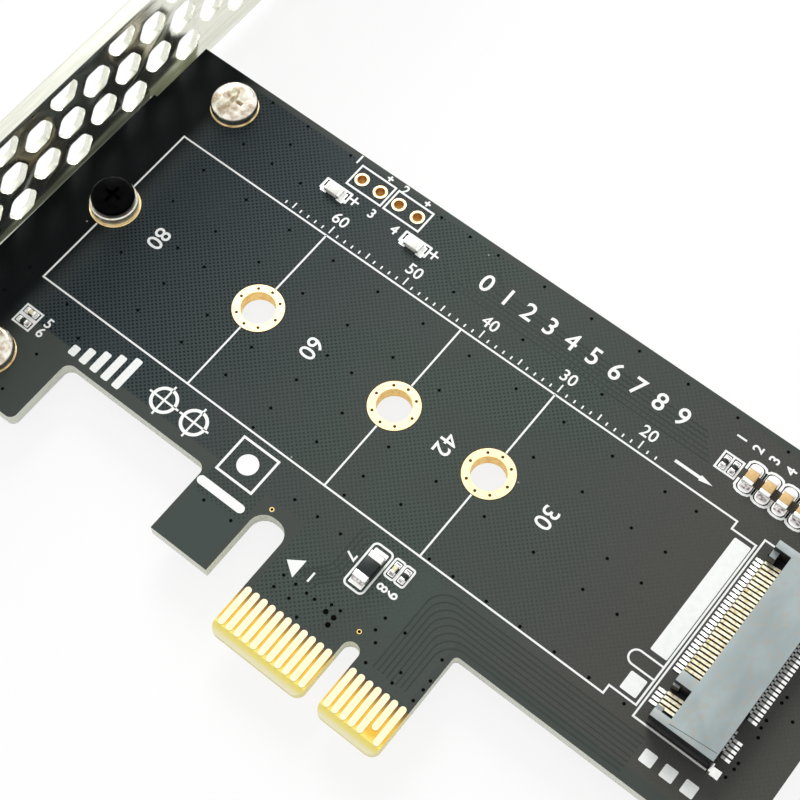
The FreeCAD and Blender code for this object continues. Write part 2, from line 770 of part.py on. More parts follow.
# ---------------------------------------------------------------- the card
makeBoard()
makeFingers("edge_fingers_front", 0, int(d.frontShortPin.value))
makeFingers("edge_fingers_back", underside - d.fingerThickness, int(d.backShortPin.value))
for name, reach in (("30", d.holeReachShort), ("42", d.holeReachMiddle), ("60", d.holeReachLong),
                    ("80", d.standoffReach)):
    makeRings("module_hole_" + name, -reach, 0, d.moduleHoleRadius, d.moduleRingRadius, name != "80")
for name, y in (("upper", upperScrewY), ("lower", lowerScrewY)):
    makeRings("screw_pad_" + name, screwX, y, screwHole, d.screwPadRadius, back=False)
makeHeader("power_header", powerHeaderX)
makeHeader("activity_header", activityHeaderX)

makeBracket()
for name, y in (("upper", upperScrewY), ("lower", lowerScrewY)):
    makeScrew("bracket_screw_" + name, screwX, y, d.plating, d.screwRadius, d.screwLength,
              d.screwHeadRadius, d.screwHeadHeight)
makeStandoff()
makeScrew("module_screw", -d.standoffReach, 0, d.standoffHeight, d.moduleScrewRadius,
          d.moduleScrewLength, d.moduleScrewHeadRadius, d.moduleScrewHeadHeight)

makeSocket()
makeContacts("socket_contacts_front", d.frontContactY, d.frontContacts, frontContactOutline())
makeContacts("socket_contacts_rear", d.rearContactY, d.rearContacts, rearContactOutline())
for name, side in (("left", 1), ("right", -1)):
    makeNail("socket_nail_" + name, side)

capY = d.boardTop - d.capInset
for index in range(4):
    makeChip("coupling_capacitor_%d" % (index + 1), d.capFirstX + d.capPitch * index, capY,
             d.capLength, d.capWidth, d.capHeight, d.capEnd)
for label, inset in (("power_lamp", d.powerLampInset), ("activity_lamp", d.activityLampInset)):
    makeChip(label, boardLeft + inset, d.boardTop - d.lampInset, d.lampLength, d.lampWidth, d.lampHeight, d.lampEnd, "X")
makeChip("resettable_fuse", d.fuseX, boardBottom + d.fuseInset, d.fuseLength, d.fuseWidth, d.fuseHeight, d.fuseEnd)
pairY = d.boardTop - d.pairInset
supplyY = boardBottom + d.supplyInset
cornerX, cornerY = boardLeft + d.cornerInset, boardBottom + d.cornerRise
for label, x, y, along in (
        ("pair_resistor_1", d.pairX, pairY, "Y"),
        ("pair_resistor_2", d.pairX + d.pairPitch, pairY, "Y"),
        ("supply_capacitor", d.supplyX, supplyY, "Y"),
        ("supply_resistor", d.supplyX + d.supplyPitch, supplyY, "Y"),
        ("corner_capacitor", cornerX, cornerY, "X"),
        ("corner_resistor", cornerX, cornerY - d.cornerPitch, "X")):
    makeChip(label, x, y, d.smallLength, d.smallWidth, d.smallHeight, d.smallEnd, along)

# ---------------------------------------------------------------- checks and export
doc.recompute()
for thing in doc.Objects:
    if "Invalid" in thing.State or "Error" in thing.State:
        raise RuntimeError("%s is %s" % (thing.Name, thing.State))
os.makedirs("parts", exist_ok=True)
for part in subParts:
    if part.Shape.isNull() or not part.Shape.isValid():
        raise RuntimeError(part.Label + " has no valid shape")
    part.Shape.exportStep("parts/%s.step" % part.Label)
    print("%-28s %3d solids %10.2f mm3" % (part.Label, len(part.Shape.Solids), part.Shape.Volume))
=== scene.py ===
import functools
import math

import bmesh
import bpy
from mathutils import Euler, Matrix, Vector


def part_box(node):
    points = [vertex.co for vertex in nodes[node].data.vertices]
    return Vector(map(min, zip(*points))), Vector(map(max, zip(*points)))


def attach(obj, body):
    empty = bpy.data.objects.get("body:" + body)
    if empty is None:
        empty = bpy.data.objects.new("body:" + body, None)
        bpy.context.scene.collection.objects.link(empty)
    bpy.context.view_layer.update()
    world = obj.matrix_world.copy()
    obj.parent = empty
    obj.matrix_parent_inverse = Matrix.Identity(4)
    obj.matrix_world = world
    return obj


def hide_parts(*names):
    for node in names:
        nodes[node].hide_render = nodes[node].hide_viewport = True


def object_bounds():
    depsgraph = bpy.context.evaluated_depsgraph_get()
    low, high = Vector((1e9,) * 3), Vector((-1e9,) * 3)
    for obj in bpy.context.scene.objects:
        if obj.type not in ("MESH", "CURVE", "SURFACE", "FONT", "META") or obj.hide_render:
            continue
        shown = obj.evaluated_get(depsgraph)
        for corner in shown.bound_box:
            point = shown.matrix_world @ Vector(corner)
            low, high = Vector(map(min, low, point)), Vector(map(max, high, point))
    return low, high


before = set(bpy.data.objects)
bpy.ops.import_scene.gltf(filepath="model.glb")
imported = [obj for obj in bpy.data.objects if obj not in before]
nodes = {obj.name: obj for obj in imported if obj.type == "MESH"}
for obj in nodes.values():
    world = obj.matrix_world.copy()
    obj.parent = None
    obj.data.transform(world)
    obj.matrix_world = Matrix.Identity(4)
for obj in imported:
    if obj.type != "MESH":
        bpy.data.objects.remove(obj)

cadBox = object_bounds()
mm = 0.001

# places read from the frame, in millimetres
boardLow, boardHigh = (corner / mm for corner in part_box("circuit_board"))
fingersLow, fingersHigh = (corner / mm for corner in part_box("edge_fingers_front"))
socketLow, socketHigh = (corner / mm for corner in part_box("socket_housing"))
moduleLengths = (80, 60, 42, 30)
maskTop = 0.03  # the lacquer's thickness on the board's face


def centreOf(node):
    low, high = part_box(node)
    return (low + high) / 2 / mm


print("frame loaded:", len(nodes), "nodes")


# small helpers
def leaveEdit():
    bpy.ops.object.mode_set(mode="OBJECT")


def deselectAll():
    if bpy.context.object and bpy.context.object.mode != "OBJECT":
        leaveEdit()
    bpy.ops.object.select_all(action="DESELECT")


def pickOnly(piece):
    deselectAll()
    piece.select_set(True)
    bpy.context.view_layer.objects.active = piece


def editAll(piece):
    # edit mode, with the whole mesh selected
    pickOnly(piece)
    bpy.ops.object.mode_set(mode="EDIT")
    bpy.ops.mesh.select_all(action="SELECT")


def applyModifier(piece, kind, **settings):
    pickOnly(piece)
    modifier = piece.modifiers.new(kind.title(), kind)
    for key, value in settings.items():
        setattr(modifier, key, value)
    bpy.ops.object.modifier_apply(modifier=modifier.name)


def cutWith(piece, tool):
    applyModifier(piece, "BOOLEAN", object=tool, operation="DIFFERENCE", solver="EXACT")


def discard(*pieces):
    for piece in pieces:
        bpy.data.objects.remove(piece)


def settle(piece):
    # leaves the place, turn and scale in the mesh
    pickOnly(piece)
    bpy.ops.object.transform_apply(location=True, rotation=True, scale=True)


def newPiece(name, mesh):
    piece = bpy.data.objects.new(name, mesh)
    bpy.context.scene.collection.objects.link(piece)
    return piece


def joinAll(pieces, name):
    pickOnly(pieces[0])
    for piece in pieces[1:]:
        piece.select_set(True)
    if len(pieces) > 1:
        bpy.ops.object.join()
    joined = bpy.context.object
    joined.name = name
    joined.data.name = name
    return joined


def addBlock(low, high):
    # a block between two corners, in millimetres
    deselectAll()
    bpy.ops.mesh.primitive_cube_add(size=1)
    block = bpy.context.object
    low, high = Vector(low), Vector(high)
    block.scale = (high - low) * mm
    block.location = (low + high) / 2 * mm
    settle(block)
    return block


def addRound(radius, low, high, vertices=48):
    # an upright cylinder on the origin, in millimetres
    deselectAll()
    bpy.ops.mesh.primitive_cylinder_add(vertices=vertices, radius=radius * mm, depth=(high - low) * mm)
    post = bpy.context.object
    post.location.z = (low + high) / 2 * mm
    settle(post)
    return post


def smoothBy(piece, angle=35):
    pickOnly(piece)
    bpy.ops.object.shade_smooth_by_angle(angle=math.radians(angle))


def copyAt(piece, x=0, y=0, z=0, turn=0):
    # a copy with a mesh of its own, turned about Z and moved, in millimetres
    twin = newPiece(piece.name, piece.data.copy())
    twin.data.transform(Matrix.Translation(Vector((x, y, z)) * mm) @ Matrix.Rotation(turn, 4, "Z"))
    return twin


def startSelection(piece, kind):
    # edit mode with nothing selected, and the mesh to select in
    pickOnly(piece)
    bpy.ops.object.mode_set(mode="EDIT")
    bpy.ops.mesh.select_mode(type=kind)
    bpy.ops.mesh.select_all(action="DESELECT")
    return bmesh.from_edit_mesh(piece.data)


def selectFaces(piece, test):
    # selects the faces whose centre and normal pass the test, in edit mode
    mesh = startSelection(piece, "FACE")
    for face in mesh.faces:
        face.select_set(bool(test(face.calc_center_median() / mm, face.normal)))
    bmesh.update_edit_mesh(piece.data)


def selectEdges(piece, test):
    # selects the edges whose two ends pass the test, in edit mode
    mesh = startSelection(piece, "EDGE")
    for edge in mesh.edges:
        edge.select_set(bool(test(edge.verts[0].co / mm, edge.verts[1].co / mm)))
    bmesh.update_edit_mesh(piece.data)


def deleteFaces(piece, test):
    selectFaces(piece, test)
    bpy.ops.mesh.delete(type="FACE")
    leaveEdit()


def bevelEdges(piece, test, width, segments=2, profile=0.5):
    selectEdges(piece, test)
    bpy.ops.mesh.bevel(offset=width * mm, segments=segments, profile=profile, affect="EDGES")
    leaveEdit()


def copyNode(node, name):
    # a copy of a CAD node with its loose triangles merged into whole faces
    piece = newPiece(name, nodes[node].data.copy())
    piece.data.materials.clear()
    editAll(piece)
    bpy.ops.mesh.remove_doubles(threshold=0.002 * mm)
    bpy.ops.mesh.dissolve_limited(angle_limit=math.radians(1))
    leaveEdit()
    return piece


def easeEdges(piece, width, angle=35):
    # rounds off the edges that are sharper than an angle in degrees
    applyModifier(piece, "BEVEL", width=width * mm, segments=2, limit_method="ANGLE",
                  angle_limit=math.radians(angle), use_clamp_overlap=True)
    smoothBy(piece, 30)


def softened(node, name, width):
    # a copy of a CAD node with its edges eased
    piece = copyNode(node, name)
    easeEdges(piece, width)
    return piece


def dress(piece, material, slot, *replaced):
    piece.data.materials.clear()
    piece.data.materials.append(material)
    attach(piece, "root")
    if replaced:
        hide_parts(*replaced)
    return piece


# flat shapes, drawn as outlines in millimetres on the board's face
def arc(x, y, radius, start, end, steps=8):
    angles = [math.radians(start + (end - start) * step / steps) for step in range(steps + 1)]
    return [(x + radius * math.cos(a), y + radius * math.sin(a)) for a in angles]


def circle(x, y, radius, points=36):
    return arc(x, y, radius, 0, 360 - 360 / points, points - 1)


def stripe(points, width, closed=False):
    # a line of even width with mitred corners, as one four-sided face for each run
    count = len(points)
    sides = []
    for index, point in enumerate(points):
        here = Vector(point)
        before = Vector(points[index - 1]) if closed or index else None
        after = Vector(points[(index + 1) % count]) if closed or index < count - 1 else None
        entry = (here - before).normalized() if before is not None else None
        leave = (after - here).normalized() if after is not None else None
        entry, leave = entry or leave, leave or entry
        along = (entry + leave).normalized()
        across = Vector((-along.y, along.x))
        reach = width / 2 / max(across.dot(Vector((-entry.y, entry.x))), 0.3)
        sides.append((here + across * reach, here - across * reach))
    runs = zip(sides, sides[1:] + sides[:1] if closed else sides[1:])
    return [[left, right, nextRight, nextLeft] for (left, right), (nextLeft, nextRight) in runs]


def softCorners(points, reach):
    # the same line with each inner corner drawn as a curve that starts up to a reach before it
    line = [points[0]]
    for before, here, after in zip(points, points[1:], points[2:]):
        before, here, after = Vector(before), Vector(here), Vector(after)
        entry = here.lerp(before, min(0.45, reach / (before - here).length))
        leave = here.lerp(after, min(0.45, reach / (after - here).length))
        for share in (0, 0.25, 0.5, 0.75, 1):
            line.append(tuple(entry.lerp(here, share).lerp(here.lerp(leave, share), share)))
    return line + [points[-1]]


def roundedBox(left, low, right, high, radius=0.0):
    if not radius:
        return [(left, low), (right, low), (right, high), (left, high)]
    corners = [(right - radius, low + radius, -90), (right - radius, high - radius, 0),
               (left + radius, high - radius, 90), (left + radius, low + radius, 180)]
    return [point for x, y, start in corners for point in arc(x, y, radius, start, start + 90)]


def plus(x, y, arm, width):
    half = width / 2
    corners = [(arm, -half), (arm, half), (half, half)]
    for turn in range(3):
        corners += [(-b, a) for a, b in corners[-3:]]
    return [(x + a, y + b) for a, b in corners]


def flatPiece(name, outlines, level, thickness):
    # closes the outlines into faces and gives them a thickness. Neighbours lie a hair apart in height,
    # so that two which cross never share a face.
    corners, faces = [], []
    for index, outline in enumerate(outlines):
        area = sum(a[0] * b[1] - b[0] * a[1] for a, b in zip(outline, outline[1:] + outline[:1]))
        first = len(corners)
        height = (level - 0.001 * (index % 4)) * mm
        corners += [(x * mm, y * mm, height) for x, y in (outline if area > 0 else outline[::-1])]
        faces.append(range(first, len(corners)))
    mesh = bpy.data.meshes.new(name)
    mesh.from_pydata(corners, [], faces)
    piece = newPiece(name, mesh)
    editAll(piece)
    bpy.ops.mesh.remove_doubles(threshold=0.001 * mm)
    leaveEdit()
    applyModifier(piece, "SOLIDIFY", thickness=thickness * mm, offset=1)
    return piece


def digits(number, x, y, size, turn, bold):
    # a plain number, centred on x and y, that stands on the lacquer
    thickness = 0.02
    deselectAll()
    bpy.ops.object.text_add()
    words = bpy.context.object
    words.data.body = str(number)
    words.data.align_x = "CENTER"
    words.data.align_y = "CENTER"
    words.data.size = size * mm
    words.data.extrude = thickness / 2 * mm
    words.data.offset = bold * mm
    words.data.resolution_u = 4
    pickOnly(words)
    bpy.ops.object.convert(target="MESH")
    words = bpy.context.object
    words.location = Vector((x, y, maskTop + thickness / 2)) * mm
    words.rotation_euler = (0, 0, math.radians(turn))
    settle(words)
    return words


# colours and the small parts that every finish is built from
def toLinear(hexColour):
    # an sRGB colour such as "1c2021" as linear light
    parts = [int(hexColour[i:i + 2], 16) / 255 for i in (0, 2, 4)]
    return tuple(p / 12.92 if p <= 0.04045 else ((p + 0.055) / 1.055) ** 2.4 for p in parts) + (1.0,)


def feed(node, inputs):
    # links what comes from another node, and sets the rest: numbers as they are, colours as hex values
    for key, value in inputs.items():
        if isinstance(value, bpy.types.NodeSocket):
            node.id_data.links.new(value, node.inputs[key])
        else:
            node.inputs[key].default_value = toLinear(value) if isinstance(value, str) else value


def addNode(tree, kind, inputs=None, output=0, **settings):
    # adds a node, sets it, links it, and gives back the output that is asked for
    node = tree.nodes.new("ShaderNode" + kind)
    for key, value in settings.items():
        setattr(node, key, value)
    feed(node, inputs or {})
    return node.outputs[output]


# settings that many nodes share
soft = {"interpolation_type": "SMOOTHSTEP"}
colours = {"data_type": "RGBA", "output": 2}


def startMaterial(name, **values):
    # gives a new material, its shader, addNode tied to its tree, and object coordinates
    material = bpy.data.materials.new(name)
    material.use_nodes = True
    shader = material.node_tree.nodes["Principled BSDF"]
    feed(shader, {key.replace("_", " "): value for key, value in values.items()})
    add = functools.partial(addNode, material.node_tree)
    return material, shader, add, add("TexCoord", output="Object")


def endMaterial(material, shader, colour, relief, depth, strength=0.5, invert=False):
    # gives the shader its colour, and dents of a depth in millimetres
    dents = {"Height": relief, "Distance": depth * mm, "Strength": strength}
    bump = addNode(material.node_tree, "Bump", dents, invert=invert)
    feed(shader, {"Base Color": colour, "Normal": bump})
    return material


def seenRays(tree):
    # 1 for a ray from the eye, straight, mirrored or through glass, and 0 for the light that falls
    add = functools.partial(addNode, tree)
    rays = add("LightPath").node.outputs
    bent = add("Math", {0: rays["Is Glossy Ray"], 1: rays["Is Transmission Ray"]}, operation="MAXIMUM")
    return add("Math", {0: rays["Is Camera Ray"], 1: bent}, operation="MAXIMUM")


def makeMaskMaterial():
    # solder mask: a satin black epoxy lacquer printed over hatched copper. Where copper lies under it,
    # it looks dark grey-green, and the hatch's small windows sink and read nearly black. Over bare glass
    # it is smooth and a little darker along the rim. Towards the bracket the lacquer and its windows are
    # painted darker, as painted shade, and beside the bracket it is painted nearly black, a painted shadow.
    # the tones for the bracket end are painted shade, and the one beside it a painted shadow, of the bracket
    mask = {"overCopper": "4b544f", "patch": "4b514d", "bySocket": "504f4c", "bracketShade": "3a4346",
            "window": "303834", "windowInBracketShade": "0f1517", "glassInBracketShadow": "070b0d", "rim": "474c49",
            "leg": "444d49", "dust": "9aa19e", "pitch": 0.42, "windowFrom": 0.1, "windowTo": 0.62,
            "grain": 0.25, "cloud": 12.0, "dustCell": 4.5, "tabMiddle": -31.3, "legMiddle": -48.9,
            "hatchInBracketShade": 0.35, "hatchBySocket": -0.75, "dent": 0.008}
    material, shader, add, place = startMaterial("solderMask", Roughness=0.42, Specular_IOR_Level=0.06)
    x, y = add("SeparateXYZ", {0: place}).node.outputs[:2]
    # the hatch: windows on a square grid that runs at 45 degrees to the board
    turns = 2 * math.pi / (mask["pitch"] * math.sqrt(2) * mm)
    waves = [add("Math", {0: add("Math", {0: axis, 1: turns}, operation="MULTIPLY")}, operation="COSINE")
             for axis in (x, y)]
    window = add("Math", {0: waves[0], 1: waves[1]}, operation="MULTIPLY")
    window = add("MapRange", {0: window, 1: mask["windowFrom"], 2: mask["windowTo"]}, **soft)
    # where one ground gives way to the next, in millimetres: along the board, up it, or out from the
    # middle of the tab and of the leg
    fromTab, fromLeg = [
        add("Math", {0: add("Math", {0: x, 1: middle * mm}, operation="SUBTRACT")}, operation="ABSOLUTE")
        for middle in (mask["tabMiddle"], mask["legMiddle"])]
    borders = {"pastBracket": (x, -80.5, -76.5), "bracketShade": (x, -35, -76), "bySocket": (x, -30, -8),
               "aboveRim": (y, -15.6, -15.3), "belowTopEdge": (y, 20.9, 20.5),
               "aboveFingers": (y, -23.7, -23.5), "aboveLegEnd": (y, -19.6, -18.9),
               "onTab": (fromTab, 9.6, 9.3), "onLeg": (fromLeg, 3.2, 2.9)}
    at = {name: add("MapRange", {0: value, 1: low * mm, 2: high * mm}, **soft)
          for name, (value, low, high) in borders.items()}
    # the copper stops short of the bracket and the long edges, and reaches further down over the tab and
    # the leg, to just above the fingers and the leg's end
    onTab = add("Math", {0: at["onTab"], 1: at["aboveFingers"]}, operation="MULTIPLY")
    onLeg = add("Math", {0: at["onLeg"], 1: at["aboveLegEnd"]}, operation="MULTIPLY")
    copper = at["aboveRim"]
    for operation, other in (("MAXIMUM", onTab), ("MAXIMUM", onLeg), ("MULTIPLY", at["belowTopEdge"]),
                             ("MULTIPLY", at["pastBracket"])):
        copper = add("Math", {0: copper, 1: other}, operation=operation)
    # broad clouds, fine mottle, and a darker end by the bracket, which is painted shade of the bracket
    cloud = add("TexNoise", {"Vector": place, "Scale": 1 / (mask["cloud"] * mm), "Detail": 1.0})
    patches = add("MapRange", {0: cloud, 1: 0.42, 2: 0.6}, **soft)
    grain = add("TexNoise", {"Vector": place, "Scale": 1 / (mask["grain"] * mm), "Detail": 4.0,
                             "Roughness": 0.7})
    mottle = add("MapRange", {0: grain, 1: 0.35, 2: 0.75, 3: 0.0, 4: 0.3})
    # towards the bracket the windows are painted nearly black: painted shade
    deep = add("Mix", {0: at["bracketShade"], 6: mask["window"], 7: mask["windowInBracketShade"]}, **colours)
    ground = mask["overCopper"]
    for share, tone in ((patches, mask["patch"]), (at["bySocket"], mask["bySocket"]),
                        (at["bracketShade"], mask["bracketShade"]), (mottle, deep)):
        ground = add("Mix", {0: share, 6: ground, 7: tone}, **colours)
    # the windows show plainly by the bracket, where they deepen its painted shade, in clouds at mid-length,
    # hardly at all by the socket and not where the tracks run between the fingers and the socket
    hatchShare = add("MapRange", {0: cloud, 1: 0.62, 2: 0.4, 3: 0.4, 4: 0.85})
    hatchShare = add("Math", {0: at["bracketShade"], 1: mask["hatchInBracketShade"], 2: hatchShare}, operation="MULTIPLY_ADD",
               use_clamp=True)
    aboveTracks = add("MapRange", {0: y, 1: -12.2 * mm, 2: -11 * mm})
    beforeTracks = add("MapRange", {0: x, 1: -28 * mm, 2: -31 * mm})
    shown = add("Math", {0: aboveTracks, 1: beforeTracks}, operation="MAXIMUM")
    shown = add("Math", {0: at["bySocket"], 1: mask["hatchBySocket"], 2: shown}, operation="MULTIPLY_ADD",
                use_clamp=True)
    for other in (shown, window):
        hatchShare = add("Math", {0: hatchShare, 1: other}, operation="MULTIPLY")
    hatched = add("Mix", {0: hatchShare, 6: ground, 7: deep}, **colours)
    bare = add("Mix", {0: at["onLeg"], 6: mask["rim"], 7: mask["leg"]}, **colours)
    # beside the bracket the bare glass is painted nearly black: the bracket's painted shadow
    bare = add("Mix", {0: at["pastBracket"], 6: mask["glassInBracketShadow"], 7: bare}, **colours)
    lacquer = add("Mix", {0: copper, 6: bare, 7: hatched}, **colours)
    # specks of dust cured into the lacquer, in some of the cells
    dust = add("TexVoronoi", {"Vector": place, "Scale": 1 / (mask["dustCell"] * mm)}).node.outputs
    speck = add("MapRange", {0: dust["Distance"], 1: 0.028, 2: 0.016})
    kept = add("MapRange", {0: add("SeparateColor", {0: dust["Color"]}), 1: 0.6, 2: 0.62})
    speck = add("Math", {0: speck, 1: kept}, operation="MULTIPLY")
    lacquer = add("Mix", {0: speck, 6: lacquer, 7: mask["dust"]}, **colours)
    sunk = add("Math", {0: window, 1: copper}, operation="MULTIPLY")
    height = add("Math", {0: grain, 1: 0.2, 2: sunk}, operation="MULTIPLY_ADD")
    return endMaterial(material, shader, lacquer, height, mask["dent"], invert=True)


def makeLaminateMaterial():
    # glass-epoxy laminate: pale grey-green where it is routed, with torn glass fibres, and honey yellow
    # where it lies bare between the gold fingers, deeper at their tops and paler at the bevelled tip
    bare = {"routed": "eef0e2", "fibre": "b9bea8", "shadedByBracket": "7d8174", "top": "6a3d08", "honey": "f2bf30",
            "lemon": "ffec74", "tip": "fffbd6", "side": "fff4b0", "tear": 0.3, "dent": 0.03}
    material, shader, add, place = startMaterial("glassEpoxyLaminate", Roughness=0.5, IOR=1.55)
    x, y = add("SeparateXYZ", {0: place}).node.outputs[:2]
    fibres = add("Mapping", {"Vector": place, "Scale": (1.0, 1.0, 6.0)})
    torn = add("TexNoise", {"Vector": fibres, "Scale": 1 / (bare["tear"] * mm), "Detail": 3.0})
    share = add("MapRange", {0: torn, 1: 0.45, 2: 0.7, 3: 0.0, 4: 0.55}, **soft)
    # the routed end beside the bracket is painted darker: painted shade in the narrow gap at the bracket
    end = add("MapRange", {0: x, 1: (boardLow.x + 0.6) * mm, 2: (boardLow.x + 0.05) * mm})
    routed = add("Mix", {0: share, 6: bare["routed"], 7: bare["fibre"]}, **colours)
    routed = add("Mix", {0: end, 6: routed, 7: bare["shadedByBracket"]}, **colours)
    # from the tops of the fingers down: where each tone starts, and where it is full
    yellow = bare["top"]
    for low, high, tone in ((fingersHigh.y - 0.3, fingersHigh.y - 2.6, bare["honey"]),
                            (fingersLow.y + 0.8, fingersLow.y - 0.1, bare["lemon"]),
                            (boardLow.y + 0.8, boardLow.y + 0.1, bare["tip"])):
        reach = add("MapRange", {0: y, 1: low * mm, 2: high * mm}, **soft)
        yellow = add("Mix", {0: reach, 6: yellow, 7: tone}, **colours)
    # the routed sides beside the fingers are paler than the face
    upward = add("SeparateXYZ", {0: add("NewGeometry", output="Normal")}, 2)
    facing = add("Math", {0: upward}, operation="ABSOLUTE")
    yellow = add("Mix", {0: facing, 6: bare["side"], 7: yellow}, **colours)
    below = add("MapRange", {0: y, 1: fingersHigh.y * mm, 2: (fingersHigh.y - 0.3) * mm})
    beside = add("MapRange", {0: x, 1: (fingersLow.x - 1.5) * mm, 2: (fingersLow.x - 1) * mm})
    onTab = add("Math", {0: below, 1: beside}, operation="MULTIPLY")
    tone = add("Mix", {0: onTab, 6: routed, 7: yellow}, **colours)
    return endMaterial(material, shader, tone, torn, bare["dent"])


def makeContactMaterial():
    # gold flash on phosphor bronze, dull straw yellow, with bare grey stems behind the socket and feet
    # tinned white
    spring = {"beam": "f3edd4", "beamDark": "c9b98a", "tin": "fafaf8", "stem": "8f918f", "stemReach": 0.75,
              "grain": 0.4, "dent": 0.003}
    material, shader, add, place = startMaterial("springGold", Metallic=1.0, Roughness=0.32)
    x = add("SeparateXYZ", {0: place})
    grain = add("TexNoise", {"Vector": place, "Scale": 1 / (spring["grain"] * mm), "Detail": 2.0})
    dull = add("MapRange", {0: grain, 1: 0.4, 2: 0.7}, **soft)
    beam = add("Mix", {0: dull, 6: spring["beam"], 7: spring["beamDark"]}, **colours)
    # from the front feet back: where each finish starts, and where it is full
    foot = socketHigh.x + spring["stemReach"]
    tone = spring["tin"]
    for low, high, finish in ((socketLow.x - 0.15, socketLow.x, beam),
                              (socketHigh.x - 0.3, socketHigh.x - 0.1, spring["stem"]),
                              (foot - 0.1, foot, spring["tin"])):
        reach = add("MapRange", {0: x, 1: low * mm, 2: high * mm})
        tone = add("Mix", {0: reach, 6: tone, 7: finish}, **colours)
    return endMaterial(material, shader, tone, grain, spring["dent"])


def makePolymerMaterial():
    # liquid-crystal polymer, moulded: black. Its roof, the faces that look up near the top, is painted
    # blue-grey as a painted reflection of a broad light on the black, with paler clouds and a faint stain
    housing = {"black": "111213", "skin": "9ba8a9", "roofSheenPale": "a7b2b3", "stain": "ada596", "cloud": 2.2,
               "blot": 0.6, "grain": 0.1, "dent": 0.003}
    material, shader, add, place = startMaterial("connectorPolymer", Roughness=0.45)
    height = add("SeparateXYZ", {0: place}, 2)
    streaks = add("Mapping", {"Vector": place, "Scale": (1.0, 0.45, 1.0)})
    cloud = add("TexNoise", {"Vector": streaks, "Scale": 1 / (housing["cloud"] * mm), "Detail": 2.0})
    blots, fine = [add("TexNoise", {"Vector": place, "Scale": 1 / (housing[size] * mm), "Detail": 3.0})
                   for size in ("blot", "grain")]
    pale = add("MapRange", {0: cloud, 1: 0.35, 2: 0.65}, **soft)
    stained = add("MapRange", {0: blots, 1: 0.5, 2: 0.62, 3: 0.0, 4: 0.4})
    skin = add("Mix", {0: pale, 6: housing["skin"], 7: housing["roofSheenPale"]}, **colours)
    skin = add("Mix", {0: stained, 6: skin, 7: housing["stain"]}, **colours)
    # only faces that look up near the top take the blue-grey: a painted reflection
    facing = add("SeparateXYZ", {0: add("NewGeometry", output="Normal")}, 2)
    up = add("MapRange", {0: facing, 1: 0.6, 2: 0.95})
    high = add("MapRange", {0: height, 1: (socketHigh.z - 1.0) * mm, 2: (socketHigh.z - 0.7) * mm})
    roof = add("Math", {0: up, 1: high}, operation="MULTIPLY")
    tone = add("Mix", {0: roof, 6: housing["black"], 7: skin}, **colours)
    return endMaterial(material, shader, tone, fine, housing["dent"])


def makeNickelSheet():
    # bright nickel on rolled steel: nearly a mirror, with a soft roll grain along the strip, a faint warm
    # cast, and a dark line painted along the flange's free edge: painted shade of the edge's face, over the
    # bare steel of the cut
    sheet = {"pale": "eeefe2", "warm": "d6d8c8", "shadedShearLine": "33342c", "roll": 0.5, "cutFrom": 0.12,
             "cutTo": 0.06, "dent": 0.0015}
    material, shader, add, place = startMaterial("brightNickel", Metallic=1.0, Roughness=0.27)
    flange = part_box("bracket")[1][0]
    x = add("SeparateXYZ", {0: place})
    rolled = add("Mapping", {"Vector": place, "Scale": (1.0, 0.08, 1.0)})
    grain = add("TexNoise", {"Vector": rolled, "Scale": 1 / (sheet["roll"] * mm), "Detail": 3.0})
    share = add("MapRange", {0: grain, 1: 0.35, 2: 0.7, 3: 0.0, 4: 0.6})
    # dark line along the flange's edge: painted shade, over the bare steel where it was sheared
    shadedEdge = add("MapRange", {0: x, 1: flange - sheet["cutFrom"] * mm, 2: flange - sheet["cutTo"] * mm})
    tone = add("Mix", {0: share, 6: sheet["pale"], 7: sheet["warm"]}, **colours)
    tone = add("Mix", {0: shadedEdge, 6: tone, 7: sheet["shadedShearLine"]}, **colours)
    return endMaterial(material, shader, tone, grain, sheet["dent"])


def makeSurface(name, pale, dark, patch, dent, mixed=0.5, **values):
    # a colour that wanders between two close tones over patches of a size in millimetres, and a fine
    # unevenness a quarter as large
    material, shader, add, place = startMaterial(name, **values)
    wander = add("TexNoise", {"Vector": place, "Scale": 1 / (patch * mm), "Detail": 3.0})
    fine = add("TexNoise", {"Vector": place, "Scale": 4 / (patch * mm), "Detail": 2.0})
    share = add("MapRange", {0: wander, 1: 0.35, 2: 0.68, 3: 0.0, 4: mixed}, **soft)
    tone = add("Mix", {0: share, 6: pale, 7: dark}, **colours)
    return endMaterial(material, shader, tone, fine, dent, strength=0.6)


solderMask = makeMaskMaterial()
laminate = makeLaminateMaterial()
springGold = makeContactMaterial()
connectorPolymer = makePolymerMaterial()
brightNickel = makeNickelSheet()
# hard gold on the fingers: pale, even and burnished by the plater
fingerGold = makeSurface("hardGold", "fdf0cc", "f8e4b4", 0.5, 0.002, Metallic=1.0, Roughness=0.4)
# immersion gold round the holes: thinner and a little deeper, matt from the etched copper below it
immersionGold = makeSurface("immersionGold", "fcebbe", "f2d694", 0.5, 0.002, Metallic=1.0, Roughness=0.4)
# gold deep in the header holes, in brown shade
headerGold = makeSurface("headerGold", "d99a3a", "8f5516", 0.3, 0.006, Metallic=1.0, Roughness=0.5)
# gold in the barrels of the holes, seen at a slant and so deeper in colour
barrelGold = makeSurface("barrelGold", "fbd98a", "dda24a", 0.6, 0.006, Metallic=1.0, Roughness=0.45)
# nickel on cold-headed steel, rougher than the sheet, with brown blotches
screwNickel = makeSurface("screwNickel", "fdfaf0", "a98a62", 1.1, 0.012, 0.8, Metallic=1.0, Roughness=0.22)
# nickel on turned brass
turnedNickel = makeSurface("turnedNickel", "f8f5ea", "d8ccb0", 0.8, 0.003, Metallic=1.0, Roughness=0.42)
